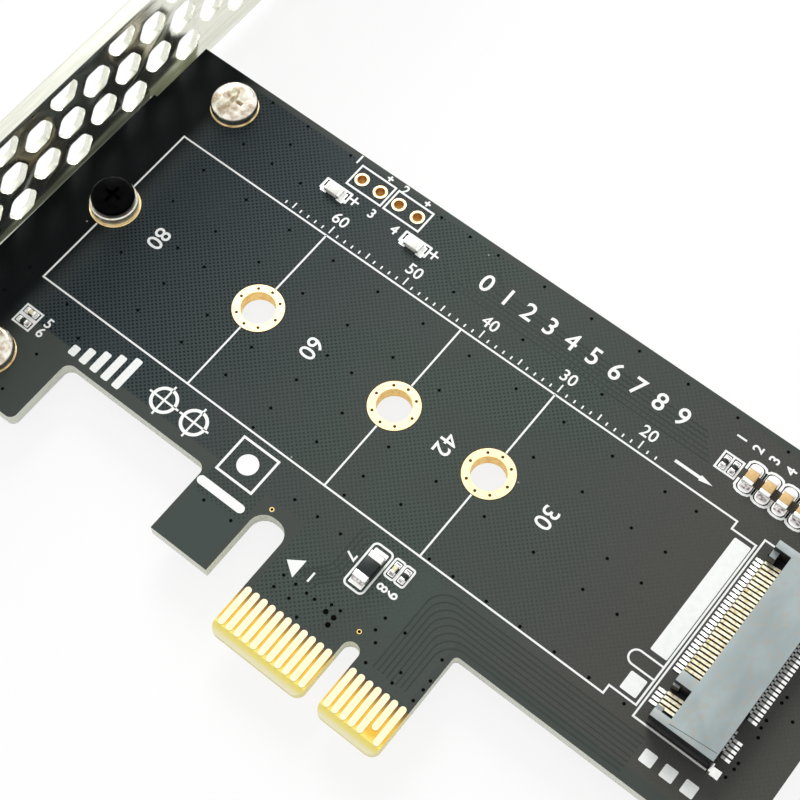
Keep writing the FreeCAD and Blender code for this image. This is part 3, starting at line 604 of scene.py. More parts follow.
# black-oxided steel: dark and oily, with a soft shine
blackOxide = makeSurface("blackOxide", "0d0d0e", "050506", 0.8, 0.004, Metallic=1.0, Roughness=0.3)
# tin on terminals and pads, bright and slightly uneven
brightTin = makeSurface("brightTin", "fafaf7", "e4e4e2", 0.5, 0.005, Metallic=1.0, Roughness=0.38)
# reflowed solder: bright, mottled with dull pinkish brown
solder = makeSurface("reflowedSolder", "f4f0ee", "55434a", 0.4, 0.02, 0.9, Metallic=1.0, Roughness=0.32)
# fired barium-titanate ceramic: matt tan
titanateCeramic = makeSurface("titanateCeramic", "dfbb80", "cba468", 0.3, 0.004, Roughness=0.55)
# a small ceramic capacitor of a paler recipe
paleCeramic = makeSurface("paleCeramic", "efe9bd", "ddd5a0", 0.3, 0.004, Roughness=0.55)
# clear-coated white lamp package
lampResin = makeSurface("lampResin", "f5f6ee", "e8eadc", 0.8, 0.002, Roughness=0.35, Coat_Weight=0.2)
# black epoxy, screened and fired, on resistors and the fuse
blackEpoxy = makeSurface("blackEpoxy", "1f2625", "151919", 0.4, 0.004, Roughness=0.45, Specular_IOR_Level=0.3)
# white legend ink: thick, satin, and slightly uneven
legendInk = makeSurface("legendInk", "f6f8f6", "ebedeb", 0.6, 0.005, Roughness=0.5)
# the unlit inside of a via, a recess or a seam
viaShadow = makeSurface("viaShadow", "060606", "020202", 0.4, 0.002, Roughness=0.9, Specular_IOR_Level=0.05)
# copper and gold seen edge-on in a small hole or at the rim of a pad
rimBrown = makeSurface("rimBrown", "5a3010", "341806", 0.3, 0.002, Roughness=0.6, Specular_IOR_Level=0.2)
# the same lacquer, a little darker, along the tracks under it
maskOverTrack = makeSurface("maskOverTrack", "3c4340", "363c39", 3.0, 0.003, Roughness=0.42,
                            Specular_IOR_Level=0.1)
print("materials made:", len(bpy.data.materials))


# board
def makeMaskSkin(name, side):
    # lacquer over one face of the board, left off where the fingers are
    skin = {"fingerGap": 0.3, "besideFingers": 2}
    edge = fingersHigh.y - skin["fingerGap"]
    left, right = fingersLow.x - skin["besideFingers"], fingersHigh.x + skin["besideFingers"]
    piece = copyNode("circuit_board", name)
    deleteFaces(piece, lambda centre, normal: normal.z * side < 0.9)
    editAll(piece)
    bpy.ops.mesh.bisect(plane_co=(0, edge * mm, 0), plane_no=(0, 1, 0))
    leaveEdit()
    deleteFaces(piece, lambda centre, normal: centre.y < edge and left < centre.x < right)
    applyModifier(piece, "SOLIDIFY", thickness=maskTop * mm, offset=1)
    dress(piece, solderMask, "solder_mask_board")


def makeBoardCore():
    # the board itself, with the tab's lower corners rounded as a router leaves them
    core = {"cornerRadius": 1.0, "beyond": 0.5}
    radius, beyond = core["cornerRadius"], core["beyond"]
    piece = copyNode("circuit_board", "board_core")
    corners = sorted({round(vertex.co.x / mm, 2) for vertex in piece.data.vertices
                      if vertex.co.y / mm < boardLow.y + 0.01})
    post = addRound(radius, boardLow.z - 2 * beyond, boardHigh.z + 2 * beyond, 64)
    for index, x in enumerate(corners):
        side = -1 if index % 2 else 1
        ends = sorted((x + radius * side, x - beyond * side))
        waste = addBlock((ends[0], boardLow.y - beyond, boardLow.z - beyond),
                         (ends[1], boardLow.y + radius, boardHigh.z + beyond))
        kept = copyAt(post, x + radius * side, boardLow.y + radius)
        cutWith(waste, kept)
        cutWith(piece, waste)
        discard(waste, kept)
    discard(post)
    smoothBy(piece, 30)
    # the long flat sides keep their own shading right up to the rounded corners
    applyModifier(piece, "WEIGHTED_NORMAL", keep_sharp=True)
    dress(piece, laminate, "solder_mask_board", "circuit_board")


makeBoardCore()
makeMaskSkin("mask_front", 1)
makeMaskSkin("mask_back", -1)
print("mask laid on both faces")


def makeFingerRow(name, node, shortOne):
    # round-ended fingers of gold. The short one is counted from the finger nearest the bracket.
    row = {"pitch": 1.0, "keyStep": 3.0, "near": 11, "count": 18, "first": 0.35, "width": 0.72,
           "shorter": 1.1, "round": 0.49, "rim": 0.4}
    low, high = (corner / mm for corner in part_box(node))
    width, thickness = row["width"], high.z - low.z
    lengths = {"whole": high.y - low.y, "short": high.y - low.y - row["shorter"]}
    sources = {}
    for kind, length in lengths.items():
        # it stands on z = 0 with its top end at the origin
        finger = addBlock((-width / 2, -length, 0), (width / 2, 0, thickness))
        bevelEdges(finger, lambda a, b: abs(a.x - b.x) + abs(a.y - b.y) < 1e-4, width * row["round"], 6)
        bevelEdges(finger, lambda a, b: min(a.z, b.z) > thickness * 0.9, thickness * row["rim"], 1)
        sources[kind] = finger
    fingers = []
    for index in range(row["count"]):
        step = row["pitch"] * index + (row["keyStep"] - row["pitch"] if index >= row["near"] else 0)
        source = sources["short" if index + 1 == shortOne else "whole"]
        fingers.append(copyAt(source, low.x + row["first"] + step, high.y, low.z))
    discard(*sources.values())
    dress(joinAll(fingers, name), fingerGold, "gold_plating", node)


makeFingerRow("fingers_front", "edge_fingers_front", 17)
makeFingerRow("fingers_back", "edge_fingers_back", 1)
print("fingers made")


def makeHoles():
    # plated barrels of the open module holes and of the header holes
    hole = {"radius": 1.9, "headerRadius": 0.5, "headerHalfPitch": 1.25, "headerRim": 0.84, "wall": 0.03,
            "lip": 0.02, "rim": 0.06, "rimBeyond": 0.01, "viaRing": 2.3, "viaRadius": 0.17,
            "viaTurns": (0, 50.5, 90, 129.5, 180, 230.5, 270, 309.5)}
    moduleSpots = [centreOf("module_hole_%d" % length) for length in moduleLengths]
    headerSpots = [centreOf(header) + Vector((side * hole["headerHalfPitch"], 0, 0))
                   for header in ("power_header", "activity_header") for side in (-1, 1)]
    for name, spots, radius, gold in (("hole_linings", moduleSpots[1:], hole["radius"], barrelGold),
                                      ("header_linings", headerSpots, hole["headerRadius"], headerGold)):
        barrel = addRound(radius, boardLow.z, hole["lip"])
        deleteFaces(barrel, lambda middle, normal: abs(normal.z) > 0.5)
        applyModifier(barrel, "SOLIDIFY", thickness=hole["wall"] * mm, offset=-1)
        linings = [copyAt(barrel, spot.x, spot.y) for spot in spots]
        discard(barrel)
        smoothBy(dress(joinAll(linings, name), gold, "gold_plating"))
    # small vias around each module hole
    outlines = []
    for spot in moduleSpots:
        for degrees in hole["viaTurns"]:
            turn = math.radians(degrees)
            x, y = spot.x + hole["viaRing"] * math.cos(turn), spot.y + hole["viaRing"] * math.sin(turn)
            outlines.append(circle(x, y, hole["viaRadius"], 12))
    # the brown rim round each gold pad, and round the mouth of the header holes
    for node in nodes:
        if node.startswith(("module_hole", "screw_pad")):
            centre, high = centreOf(node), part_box(node)[1] / mm
            ring = circle(centre.x, centre.y, high.x - centre.x + hole["rimBeyond"], 60)
            outlines += stripe(ring, hole["rim"], True)
    for spot in headerSpots:
        for edge in (hole["headerRadius"] + hole["wall"], hole["headerRim"]):
            outlines += stripe(circle(spot.x, spot.y, edge), hole["rim"], True)
    dress(flatPiece("ring_vias", outlines, maskTop + 0.02, 0.006), rimBrown, "gold_plating")


for node in nodes:
    if node.startswith(("module_hole", "screw_pad")) or node.endswith("_header"):
        nodes[node].data.materials.clear()
        nodes[node].data.materials.append(immersionGold)
makeHoles()


def makeVias():
    # vias under the lacquer, one by one as x, y, or in rows as first x, y, step, count
    rows = [(-75.3, 20.5, 5.0, 2), (-64.3, 20.5), (-51.8, 20.45, 3.8, 2), (-44.3, 20.5, 6.05, 7),
            (-70.3, 17.5), (-74.3, 14.4, 4.0, 3), (-45.3, 14.1), (-36.3, 14.1, 10.0, 2),
            (-75.5, 9.2, 6.0, 10), (-15.2, 9.3), (-11.6, 9.5), (-75.5, 4.2, 6.0, 7), (-27.6, 4.2, 6.0, 2),
            (-71.3, 0.2, 3.7, 2), (-50.9, 0.2, 3.2, 2), (-75.6, -3.9, 6.0, 10), (-69.6, -7.95, 6.0, 6),
            (-34.8, -8.0), (-51.6, -10.7), (-39.8, -10.7), (-29.1, -10.75), (-26.2, -10.75, 4.05, 6),
            (-81.9, -11.2), (-75.8, -12.0), (-72.2, -14.2), (-82.1, -14.8), (-74.3, -18.2), (-74.3, -23.2),
            (-43.3, -14.1, 2.9, 3), (-50.3, -19.7, 3.5, 2), (-39.1, -20.8, 1.5, 2), (-39.1, -22.3, 1.9, 2),
            (-36.2, -20.85, 1.0, 2), (-28.7, -18.1, 2.4, 2), (-28.7, -19.6), (-27.9, -20.6),
            (-27.4, -22.7, 3.2, 2), (-24.2, -21.4), (-21.9, -18.0), (-21.5, -20.3), (-21.5, -21.4),
            (-21.6, -22.8), (-15.6, 4.1, 4.05, 2), (-15.6, 0.04, 4.05, 2), (-15.6, -4.0, 4.05, 2),
            (5.7, -0.75), (5.6, -1.5), (7.4, -2.4), (5.4, -3.8), (5.4, -4.7), (5.7, -5.65), (5.6, -8.8),
            (5.6, -9.5), (5.4, -10.6), (-3.4, 10.1), (-35.4, -23.3), (-33.57, -20.26), (-32.52, -20.21)]
    via = {"radius": 0.18, "bigRadius": 0.29, "rim": 0.07, "openRadius": 0.16, "openRim": 0.09,
           "height": 0.004, "big": ((-33.56, -21.14), (-32.58, -21.15), (-32.58, -22.04)),
           "open": ((-44.4, -16.3), (-29.8, -20.7))}
    covered = []
    for x, y, *run in rows:
        step, count = run or (0, 1)
        covered += [(x + step * index, y, via["radius"]) for index in range(count)]
    covered += [(x, y, via["bigRadius"]) for x, y in via["big"]]
    bare = [(x, y, via["openRadius"]) for x, y in via["open"]]
    # name, spots, rim, lift off the lacquer, points of a circle, finish
    layers = [("via_holes", covered, 0, 0.006, 12, viaShadow, "solder_mask_board"),
              ("via_rims", covered, via["rim"], 0, 24, solderMask, "solder_mask_board"),
              ("open_vias", bare, via["openRim"], 0, 24, barrelGold, "gold_plating"),
              ("open_via_holes", bare, 0, 0.004, 12, viaShadow, "gold_plating")]
    for name, spots, rim, lift, points, material, slot in layers:
        discs = [circle(x, y, radius + rim, points) for x, y, radius in spots]
        dress(flatPiece(name, discs, maskTop + lift, via["height"]), material, slot)


makeVias()
print("holes and vias made")


def makeTraces():
    # thin copper tracks felt through the lacquer. Each bundle is its count, and the x and y it starts from.
    track = {"width": 0.14, "height": 0.012, "pitch": 0.55, "corner": 1.3, "turn": 0.9,
             "atFingers": -22.6, "atSocket": -2.5, "atResistors": -13.6,
             "toSocket": (8, -26.6, -12.3), "fromFingers": (5, -36.1, -11.9), "alongTop": (6, -48.0, 14.6)}
    pitch, corner = track["pitch"], track["corner"]
    runs = []
    count, left, top = track["toSocket"]
    for index in range(count):
        x, y = left + pitch * index, top - pitch * index
        runs.append([(x, track["atFingers"]), (x, y - corner), (x + corner, y), (track["atSocket"], y)])
    count, left, top = track["fromFingers"]
    for index in range(count):
        x, y = left + pitch * index, top - pitch * index
        runs.append([(x - 2.2, -20.2), (x - 2.2, -19.5), (x, -17.3), (x, y - 0.4), (x + 0.4, y)])
    count, left, low = track["alongTop"]
    for index in range(count):
        x, y = left + index, low + pitch * index
        runs.append([(x, y + 1.6), (x + 1.6, y), (track["atResistors"] - 0.4 * index, y)])
    outlines = []
    for run in runs:
        outlines += stripe(softCorners(run, track["turn"]), track["width"])
    tracks = flatPiece("covered_tracks", outlines, maskTop, track["height"])
    dress(tracks, maskOverTrack, "solder_mask_board")


makeTraces()
print("tracks made")


# legend
lampSpots = ((-62.68, 16.1), (-51.95, 16.15))


def makeLegend():
    legend = {"line": 0.2, "thin": 0.22, "lobe": 0.26, "height": 0.02, "left": -80.0, "right": -5.0,
              "half": 11.12, "step": 10.15, "clear": 2.8, "scaleFrom": 18, "scaleTo": 66, "scaleLine": 0.16}
    line, thin = legend["line"], legend["thin"]
    left, right, half, step, clear = (legend[key] for key in ("left", "right", "half", "step", "clear"))
    marks = []

    def frameBoxes(boxes):
        for box in boxes:
            marks.extend(stripe(roundedBox(*box), thin, True))

    # module outline and the ends of the shorter modules
    marks += stripe([(left, clear), (left, half), (-7.85, half), (-7.85, step), (right, step)], line)
    marks += stripe([(left, -clear), (left, -half), (-8.1, -half), (-8.1, -step), (right, -step)], line)
    for length in moduleLengths[1:]:
        for side in (-1, 1):
            marks += stripe([(-length, clear * side), (-length, half * side)], line)
    # card edge, key outline and the two filled blocks in front of the socket
    marks += stripe([(right, step + 0.1), (right, -step - 0.1)], thin)
    marks += stripe([(right, -5.55)] + arc(-7.6, -6.35, 0.8, 90, 270, 12) + [(right, -7.15)], line)
    marks.append(roundedBox(-7.1, -4.85, -5.2, 9.6, 0.15))
    marks.append(roundedBox(-7.25, -9.7, -5.4, -7.65, 0.15))
    # socket outline
    around = half + 0.05
    marks += stripe([(3.6, around), (-4.62, around), (-4.62, -around), (3.6, -around)], line)
    # headers
    frameBoxes([(-62.45, 17.5, -57.85, 20.3), (-57.4, 17.5, -52.72, 20.25)])
    marks += [plus(x, 20.86, 0.36, thin) for x in (-59.05, -54.0)]
    # lamps, each on a filled block with a plus at its far end
    for x, y in lampSpots:
        marks.append(roundedBox(x - 1.82, y - 0.77, x + 1.78, y + 0.77, 0.12))
        marks.append(plus(x + 2.35, y + 0.15, 0.58, thin))
    # pair of resistors, fuse and its neighbours, corner parts
    frameBoxes([(-12.95, 14.65, -10.72, 16.72)])
    marks += stripe([(-11.83, 14.7), (-11.83, 16.68)], thin)
    frameBoxes([(-34.25, -17.8, -31.95, -12.55, 0.5), (-31.6, -14.75, -30.5, -12.6, 0.25),
                (-30.38, -14.75, -29.28, -12.6, 0.25), (-79.0, -15.55, -76.85, -14.5),
                (-79.0, -16.8, -76.85, -15.74)])
    # capacitors: a rounded lobe at each end, open at mid-length, neighbours sharing a side
    quarter = [(0.98, 0.62), (0.98, 1.45), (0.72, 1.78), (0.3, 1.92)]
    for index in range(4):
        x, y = -9.35 + 2.0 * index, 15.75
        for side in (-1, 1):
            lobe = [(x - out, y + side * up) for out, up in quarter]
            lobe += [(x + out, y + side * up) for out, up in quarter[::-1]]
            marks += stripe(lobe, legend["lobe"])
    # bar on the leg, arrow towards the socket
    marks.append(arc(-46.9, -18.2, 0.48, -90, 90) + arc(-51.9, -18.2, 0.48, 90, 270))
    marks += stripe([(-16.35, 12.7), (-13.2, 12.7)], 0.34)
    marks.append([(-13.35, 12.36), (-11.85, 12.7), (-13.35, 13.04)])
    # a scale of module lengths along the outline, in place of words
    for length in range(legend["scaleFrom"], legend["scaleTo"] + 1):
        tall = 1.0 if length % 10 == 0 else 0.75 if length % 5 == 0 else 0.4
        marks += stripe([(-length, 11.5), (-length, 11.5 + tall)], legend["scaleLine"])
    # geometric marks where the board carries its approvals
    for index in range(5):
        x = -72.0 + 1.5 * index
        marks.append(roundedBox(x, -16.1, x + 0.9, -14.9 + 0.7 * index, 0.2))
    for x in (-60.6, -56.6):
        marks += stripe(circle(x, -14.0, 1.35), 0.36, True)
        marks.append(plus(x, -14.0, 1.9, thin))
    marks += stripe(roundedBox(-51.6, -16.3, -47.1, -12.0), legend["lobe"], True)
    marks.append(circle(-49.35, -14.15, 1.15))
    # three squares by the socket's lower end, and a corner mark above the fingers
    marks += [roundedBox(-1.9 + 2.3 * index, -14.3, -0.5 + 2.3 * index, -12.9, 0.15) for index in range(3)]
    marks.append([(-39.9, -19.4), (-38.3, -18.3), (-38.3, -20.5)])
    # numbers, as number, x, y, size, turn, boldness: module lengths, the scale, a row of figures for the
    # maker to strike out, as for a week of manufacture, and the small parts
    figures = [(80, -73.7, -0.2, 2.6, -90, 0.02), (60, -52.8, -0.2, 2.6, -90, 0.02),
               (42, -35.4, -0.2, 2.6, -90, 0.02), (30, -22.8, -0.2, 2.6, -90, 0.02)]
    figures += [(length, -length, 13.45, 1.9, 0, 0.02) for length in (20, 30, 40, 50, 60)]
    figures += [(figure, -43.2 + 2.75 * figure, 17.0, 2.9, 0, 0.03) for figure in range(10)]
    small = [(1, -36.9, -19.4, 0), (1, -63.2, 20.65, 0), (2, -56.9, 20.65, 0), (3, -57.9, 16.15, 0),
             (4, -54.8, 16.1, 0), (5, -75.7, -14.9, 0), (6, -75.7, -16.2, 0), (7, -35.3, -15.2, -90),
             (8, -30.9, -15.9, -90), (9, -29.7, -15.9, -90)]
    small += [(index + 1, -12.4 + 1.95 * index, 18.9, 90) for index in range(6)]
    figures += [(number, x, y, 1.6, turn, 0.03) for number, x, y, turn in small]
    drawn = [flatPiece("legend_front", marks, maskTop, legend["height"])]
    drawn += [digits(*figure) for figure in figures]
    dress(joinAll(drawn, "legend_front"), legendInk, "solder_mask_board")


def makeLampMarks():
    # gaps in the ink at the ends of each lamp, where the black lacquer shows
    marks = []
    for x, y in lampSpots:
        for near, far in ((-1.15, -1.45), (1.0, 1.42)):
            marks += stripe([(x + near, y + 0.44), (x + far, y + 0.44), (x + far, y - 0.36)], 0.17)
    dress(flatPiece("lamp_marks", marks, maskTop + 0.03, 0.004), viaShadow, "solder_mask_board")


makeLegend()
makeLampMarks()
print("legend printed")


# metalwork
def makeBracket():
    # folded sheet: vents with punched, rounded corners, and its edges eased by tumbling
    bracket = {"ventCorner": 0.45, "edge": 0.06, "ventsLow": (-26.6, -0.6), "ventsHigh": (66, 14.4)}
    piece = copyNode("bracket", "bracket_sheet")
    inner = centreOf("bracket_screw_upper").x
    (lowY, lowZ), (highY, highZ) = bracket["ventsLow"], bracket["ventsHigh"]

    def atVentCorner(a, b):
        alongX = abs(a.y - b.y) + abs(a.z - b.z) < 1e-3 and 0.5 < abs(a.x - b.x) < 1.2
        return alongX and lowZ < a.z < highZ and lowY < a.y < highY and a.x < inner

    bevelEdges(piece, atVentCorner, bracket["ventCorner"], 3)
    easeEdges(piece, bracket["edge"], 50)
    dress(piece, brightNickel, "nickel_steel", "bracket")


def cutCross(head, radius, top, depth):
    # a cross recess whose arms taper towards its bottom, drawn as shares of the head's radius
    cross = {"reach": 0.56, "width": 0.2, "endTaper": 0.45, "sideTaper": 0.7, "above": 0.3}
    reach, half = radius * cross["reach"], radius * cross["width"] / 2
    arm = addBlock((-reach, -half, top - depth), (reach, half, top + cross["above"]))
    selectFaces(arm, lambda centre, normal: normal.z < -0.9)
    bpy.ops.transform.resize(value=(cross["endTaper"], cross["sideTaper"], 1))
    leaveEdit()
    arms = [copyAt(arm, turn=turn) for turn in (0, math.pi / 2)]
    for tool in arms:
        cutWith(head, tool)
    discard(arm, *arms)


def makeScrew(name, node, material, slot, cast):
    # pan head with a cross recess, on a shank with rolled rings of thread
    rolled = {"underEdge": 0.1, "crest": 0.3, "core": 0.8, "overlap": 0.1}
    low, high = (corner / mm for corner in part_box(node))
    centre = (low + high) / 2
    seat = high.z - cast["headHeight"]
    head = addRound(cast["headRadius"], seat, high.z, 64)
    bevelEdges(head, lambda a, b: min(a.z, b.z) > high.z - 0.01, cast["crown"], 5)
    bevelEdges(head, lambda a, b: max(a.z, b.z) < seat + 0.01, rolled["underEdge"], 2)
    cutCross(head, cast["headRadius"], high.z, cast["recess"])
    ring = addRound(cast["radius"], 0, cast["pitch"], 32)
    bevelEdges(ring, lambda a, b: abs(a.z - b.z) < 0.01, cast["pitch"] * rolled["crest"], 1)
    count = int((seat - low.z) / cast["pitch"])
    rings = [copyAt(ring, z=low.z + cast["pitch"] * index) for index in range(count)]
    discard(ring)
    core = addRound(cast["radius"] * rolled["core"], low.z + rolled["overlap"], seat + rolled["overlap"], 32)
    screw = joinAll([head] + rings + [core], name)
    screw.data.transform(Matrix.Translation(Vector((centre.x, centre.y, 0)) * mm))
    smoothBy(screw)
    dress(screw, material, slot, node)


def makeStandoff():
    # turned post with a through bore: a narrow shank in the board, and a wide collar above it whose two
    # rims are chamfered
    post = {"bore": 1.0, "shank": 1.86, "collar": 2.58, "seat": 0.06, "rim": 0.12, "lowerRim": (0.1, 0.08)}
    bore, shank, collar, seat, rim = (post[key] for key in ("bore", "shank", "collar", "seat", "rim"))
    inset, rise = post["lowerRim"]
    low, high = (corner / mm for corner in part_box("module_standoff"))
    outline = [(bore, low.z), (shank, low.z), (shank, seat), (collar - inset, seat), (collar, seat + rise),
               (collar, high.z - rim), (collar - rim, high.z), (bore, high.z)]
    count = len(outline)
    corners = [(x * mm, 0, z * mm) for x, z in outline]
    mesh = bpy.data.meshes.new("standoff_finish")
    mesh.from_pydata(corners, [(index, (index + 1) % count) for index in range(count)], [])
    piece = newPiece("standoff_finish", mesh)
    editAll(piece)
    bpy.ops.mesh.spin(steps=64, angle=2 * math.pi, center=(0, 0, 0), axis=(0, 0, 1))
    bpy.ops.mesh.select_all(action="SELECT")
    bpy.ops.mesh.remove_doubles(threshold=0.001 * mm)
    bpy.ops.mesh.normals_make_consistent(inside=False)
    leaveEdit()
    centre = centreOf("module_standoff")
    piece.data.transform(Matrix.Translation(Vector((centre.x, centre.y, 0)) * mm))
    smoothBy(piece, 30)
    dress(piece, turnedNickel, "nickel_fastener", "module_standoff")


makeBracket()
clampScrew = {"headRadius": 2.6, "headHeight": 1.5, "crown": 0.7, "recess": 0.65, "radius": 1.47,
              "pitch": 0.5}
moduleScrew = {"headRadius": 2.35, "headHeight": 1.0, "crown": 0.4, "recess": 0.6, "radius": 0.97,
               "pitch": 0.4}
for end in ("upper", "lower"):
    makeScrew("screw_%s_finish" % end, "bracket_screw_" + end, screwNickel, "nickel_fastener", clampScrew)
makeStandoff()
makeScrew("module_screw_finish", "module_screw", blackOxide, "black_screw", moduleScrew)
print("bracket, screws and standoff made")


# socket
def makeSocket():
    # moulded shell with a seam across its roof and low walls in front of the throat's ends and key
    socket = {"edge": 0.04, "wallFoot": 0.3, "wallTop": 2.0, "wallDepth": 0.75, "wallEdge": 0.05,
              "walls": ((9.2, 10.1), (-7.05, -6.7), (-5.55, -5.2), (-10.1, -9.35)),
              "seam": ((-1.42, -10.55), (3.6, -10.1)), "seamWidth": 0.05}
    shell = softened("socket_housing", "socket_shell", socket["edge"])
    front, top = socketLow.x, socket["wallTop"]
    walls = []
    for low, high in socket["walls"]:
        wall = addBlock((front, low, socket["wallFoot"]), (front + socket["wallDepth"], high, top))
        bevelEdges(wall, lambda a, b: min(a.z, b.z) > top - 0.01, socket["wallEdge"])
        walls.append(wall)
    seam = flatPiece("socket_seam", stripe(socket["seam"], socket["seamWidth"]), socketHigh.z, 0.002)
    dress(seam, viaShadow, "socket_plastic")
    dress(joinAll([shell] + walls, "socket_shell"), connectorPolymer, "socket_plastic", "socket_housing")


def makeContacts(name, node):
    # the springs, drawn wider than they are stamped, so that each still reads as a strip
    contact = {"pitch": 0.5, "wider": 1.3}
    pitch = contact["pitch"]
    piece = copyNode(node, name)
    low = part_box(node)[0].y / mm
    places = [vertex.co.y / mm for vertex in piece.data.vertices]
    firstSpring = [y for y in places if y < low + pitch / 2]
    start = (min(firstSpring) + max(firstSpring)) / 2
    for vertex, y in zip(piece.data.vertices, places):
        centre = start + round((y - start) / pitch) * pitch
        vertex.co.y = (centre + (y - centre) * contact["wider"]) * mm
    smoothBy(piece, 30)
    dress(piece, springGold, "gold_contact", node)


makeSocket()
for side in ("front", "rear"):
    makeContacts("contacts_" + side, "socket_contacts_" + side)
for side in ("left", "right"):
    nail = softened("socket_nail_" + side, "nail_%s_finish" % side, 0.05)
    dress(nail, brightTin, "tin_plating", "socket_nail_" + side)
print("socket made")


# chips
def makeFillet(width, reach, height):
    # solder climbing an end that stands at x = 0 and faces +X, hollow like a real meniscus
    meniscus = {"share": 0.96, "hollow": 0.2}
    fillet = addBlock((0, -width / 2, 0), (reach, width / 2, height))
    bevelEdges(fillet, lambda a, b: min(a.x, b.x) > reach - 0.01 and min(a.z, b.z) > height - 0.01,
               min(reach, height) * meniscus["share"], 5, meniscus["hollow"])
    smoothBy(fillet, 60)
    return fillet


def dressChip(label, material, slot, pad):
    # rounded body and ends, pads under them and solder between
    chip = {"round": 0.08, "roundShare": 0.12, "bodyRound": 0.6, "padHeight": 0.025, "solderWidth": 0.9}
    low, high = (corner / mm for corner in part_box(label + "_ends"))
    centre, height = (low + high) / 2, high.z
    lies = high.x - low.x > high.y - low.y
    width, length = sorted((high.x - low.x, high.y - low.y))
    rounding = min(chip["round"], height * chip["roundShare"])
    for part, edge, finish, finishSlot in (("_body", rounding * chip["bodyRound"], material, slot),
                                           ("_ends", rounding, brightTin, "tin_plating")):
        piece = softened(label + part, label + part + "_finish", edge)
        dress(piece, finish, finishSlot, label + part)
    base = addBlock((-pad["under"], -width / 2 - pad["beside"], maskTop),
                    (pad["beyond"], width / 2 + pad["beside"], maskTop + chip["padHeight"]))
    bevelEdges(base, lambda a, b: abs(a.z - b.z) > 0.02 and a.x > 0, min(pad["round"], width / 2), 5)
    fillet = makeFillet(width * chip["solderWidth"], pad["beyond"] * pad["run"], height * pad["climb"])
    pads, fillets = [], []
    for side in (-1, 1):
        turn = (0 if side > 0 else math.pi) + (0 if lies else math.pi / 2)
        x = centre.x + (length / 2 * side if lies else 0)
        y = centre.y + (0 if lies else length / 2 * side)
        pads.append(copyAt(base, x, y, 0, turn))
        fillets.append(copyAt(fillet, x, y, maskTop, turn))
    discard(base, fillet)
    dress(joinAll(pads, label + "_pads"), brightTin, "tin_plating")
    dress(joinAll(fillets, label + "_solder"), pad["solder"], "tin_plating")


# how far a pad reaches under its part, beyond it and beside it, how round it is, and how high and how
# far out the solder runs
capacitorPad = {"under": 0.4, "beyond": 0.72, "beside": 0.12, "round": 0.72, "climb": 0.5, "run": 0.4,
                "solder": solder}
lampPad = {"under": 0.3, "beyond": 0.5, "beside": 0.12, "round": 0.1, "climb": 0.3, "run": 0.6,
           "solder": brightTin}
fusePad = {"under": 0.6, "beyond": 0.6, "beside": 0.0, "round": 0.08, "climb": 0.5, "run": 0.3,
           "solder": solder}
smallPad = {"under": 0.2, "beyond": 0.32, "beside": 0.1, "round": 0.1, "climb": 0.7, "run": 0.6,
            "solder": solder}
for labels, material, slot, pad in (
        (["coupling_capacitor_%d" % (index + 1) for index in range(4)], titanateCeramic, "capacitor_ceramic",
         capacitorPad),
        (["power_lamp", "activity_lamp"], lampResin, "lamp_resin", lampPad),
        (["resettable_fuse"], blackEpoxy, "black_moulding", fusePad),
        (["supply_capacitor", "corner_capacitor"], paleCeramic, "capacitor_ceramic", smallPad),
        (["pair_resistor_1", "pair_resistor_2", "supply_resistor", "corner_resistor"], blackEpoxy,
         "black_moulding", smallPad)):
    for label in labels:
        dressChip(label, material, slot, pad)
print("chips finished")


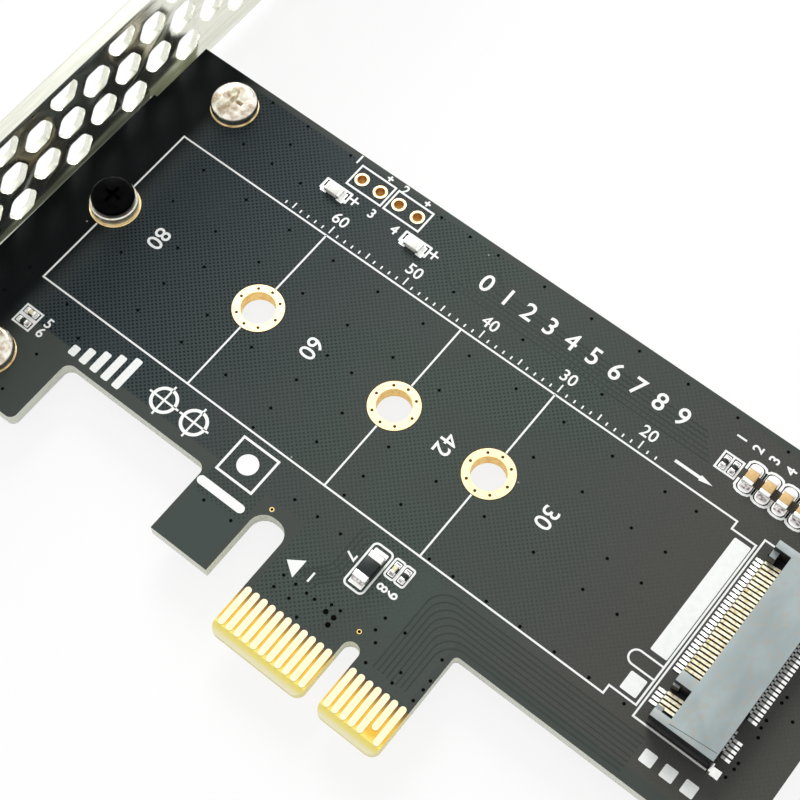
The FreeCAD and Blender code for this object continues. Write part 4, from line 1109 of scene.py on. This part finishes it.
# floor, light and camera
def makeFloor():
    # white paper under the card. Straight to the eye it shows mostly as its own white, so that the card's
    # shadow stays light.
    stage = {"size": 3000, "middle": -40, "paper": "f6f6f6", "fibre": "f1f1f1", "grain": 0.8,
             "ownWhite": 0.86}
    deselectAll()
    bpy.ops.mesh.primitive_plane_add(size=stage["size"] * mm,
                                     location=(stage["middle"] * mm, 0, cadBox[0][2]))
    floor = bpy.context.object
    floor.name = "floor"
    material, shader, add, place = startMaterial("paper", Roughness=0.9)
    fibre = add("TexNoise", {"Vector": place, "Scale": 1 / (stage["grain"] * mm), "Detail": 3.0})
    feed(shader, {"Base Color": add("Mix", {0: fibre, 6: stage["paper"], 7: stage["fibre"]}, **colours)})
    share = add("Math", {0: seenRays(material.node_tree), 1: stage["ownWhite"]}, operation="MULTIPLY")
    white = add("Emission", {"Color": "ffffff", "Strength": 1.0})
    paper = add("MixShader", {0: share, 1: shader.outputs[0], 2: white})
    feed(material.node_tree.nodes["Material Output"], {0: paper})
    floor.data.materials.append(material)


def makeLamp():
    # one broad, soft light, high up beyond the bracket and the top edge
    softbox = {"place": (-340, 360, 290), "target": (-40, 0, 0), "size": 260, "power": 2.9}
    place, target = Vector(softbox["place"]), Vector(softbox["target"])
    deselectAll()
    bpy.ops.object.light_add(type="AREA", location=place * mm)
    lamp = bpy.context.object
    lamp.name = "softbox_key"
    lamp.data.size = softbox["size"] * mm
    lamp.data.energy = softbox["power"]
    lamp.rotation_euler = (target - place).to_track_quat("-Z", "Y").to_euler()


def makeWorld():
    # even light all round, and plain white for whatever looks straight at it
    studio = {"level": 0.62, "white": "ffffff"}
    world = bpy.data.worlds.new("studio")
    bpy.context.scene.world = world
    world.use_nodes = True
    tree = world.node_tree
    strength = addNode(tree, "Math", {0: seenRays(tree), 1: 1.0 - studio["level"], 2: studio["level"]},
                       operation="MULTIPLY_ADD")
    feed(tree.nodes["Background"], {"Color": studio["white"], "Strength": strength})


def makeCamera():
    view = {"place": (6.02, -60.34, 163.96), "turn": (25.378, -0.153, 38.403), "lens": 80.69, "sensor": 36,
            "nearest": 5}
    deselectAll()
    bpy.ops.object.camera_add(location=Vector(view["place"]) * mm)
    camera = bpy.context.object
    camera.name = "camera"
    camera.rotation_euler = Euler([math.radians(angle) for angle in view["turn"]], "XYZ")
    camera.data.lens = view["lens"]
    camera.data.sensor_width = view["sensor"]
    camera.data.clip_start = view["nearest"] * mm
    bpy.context.scene.camera = camera


makeFloor()
makeLamp()
makeWorld()
makeCamera()
bpy.context.scene.view_settings.view_transform = "Standard"
print("floor, lamp and camera set")
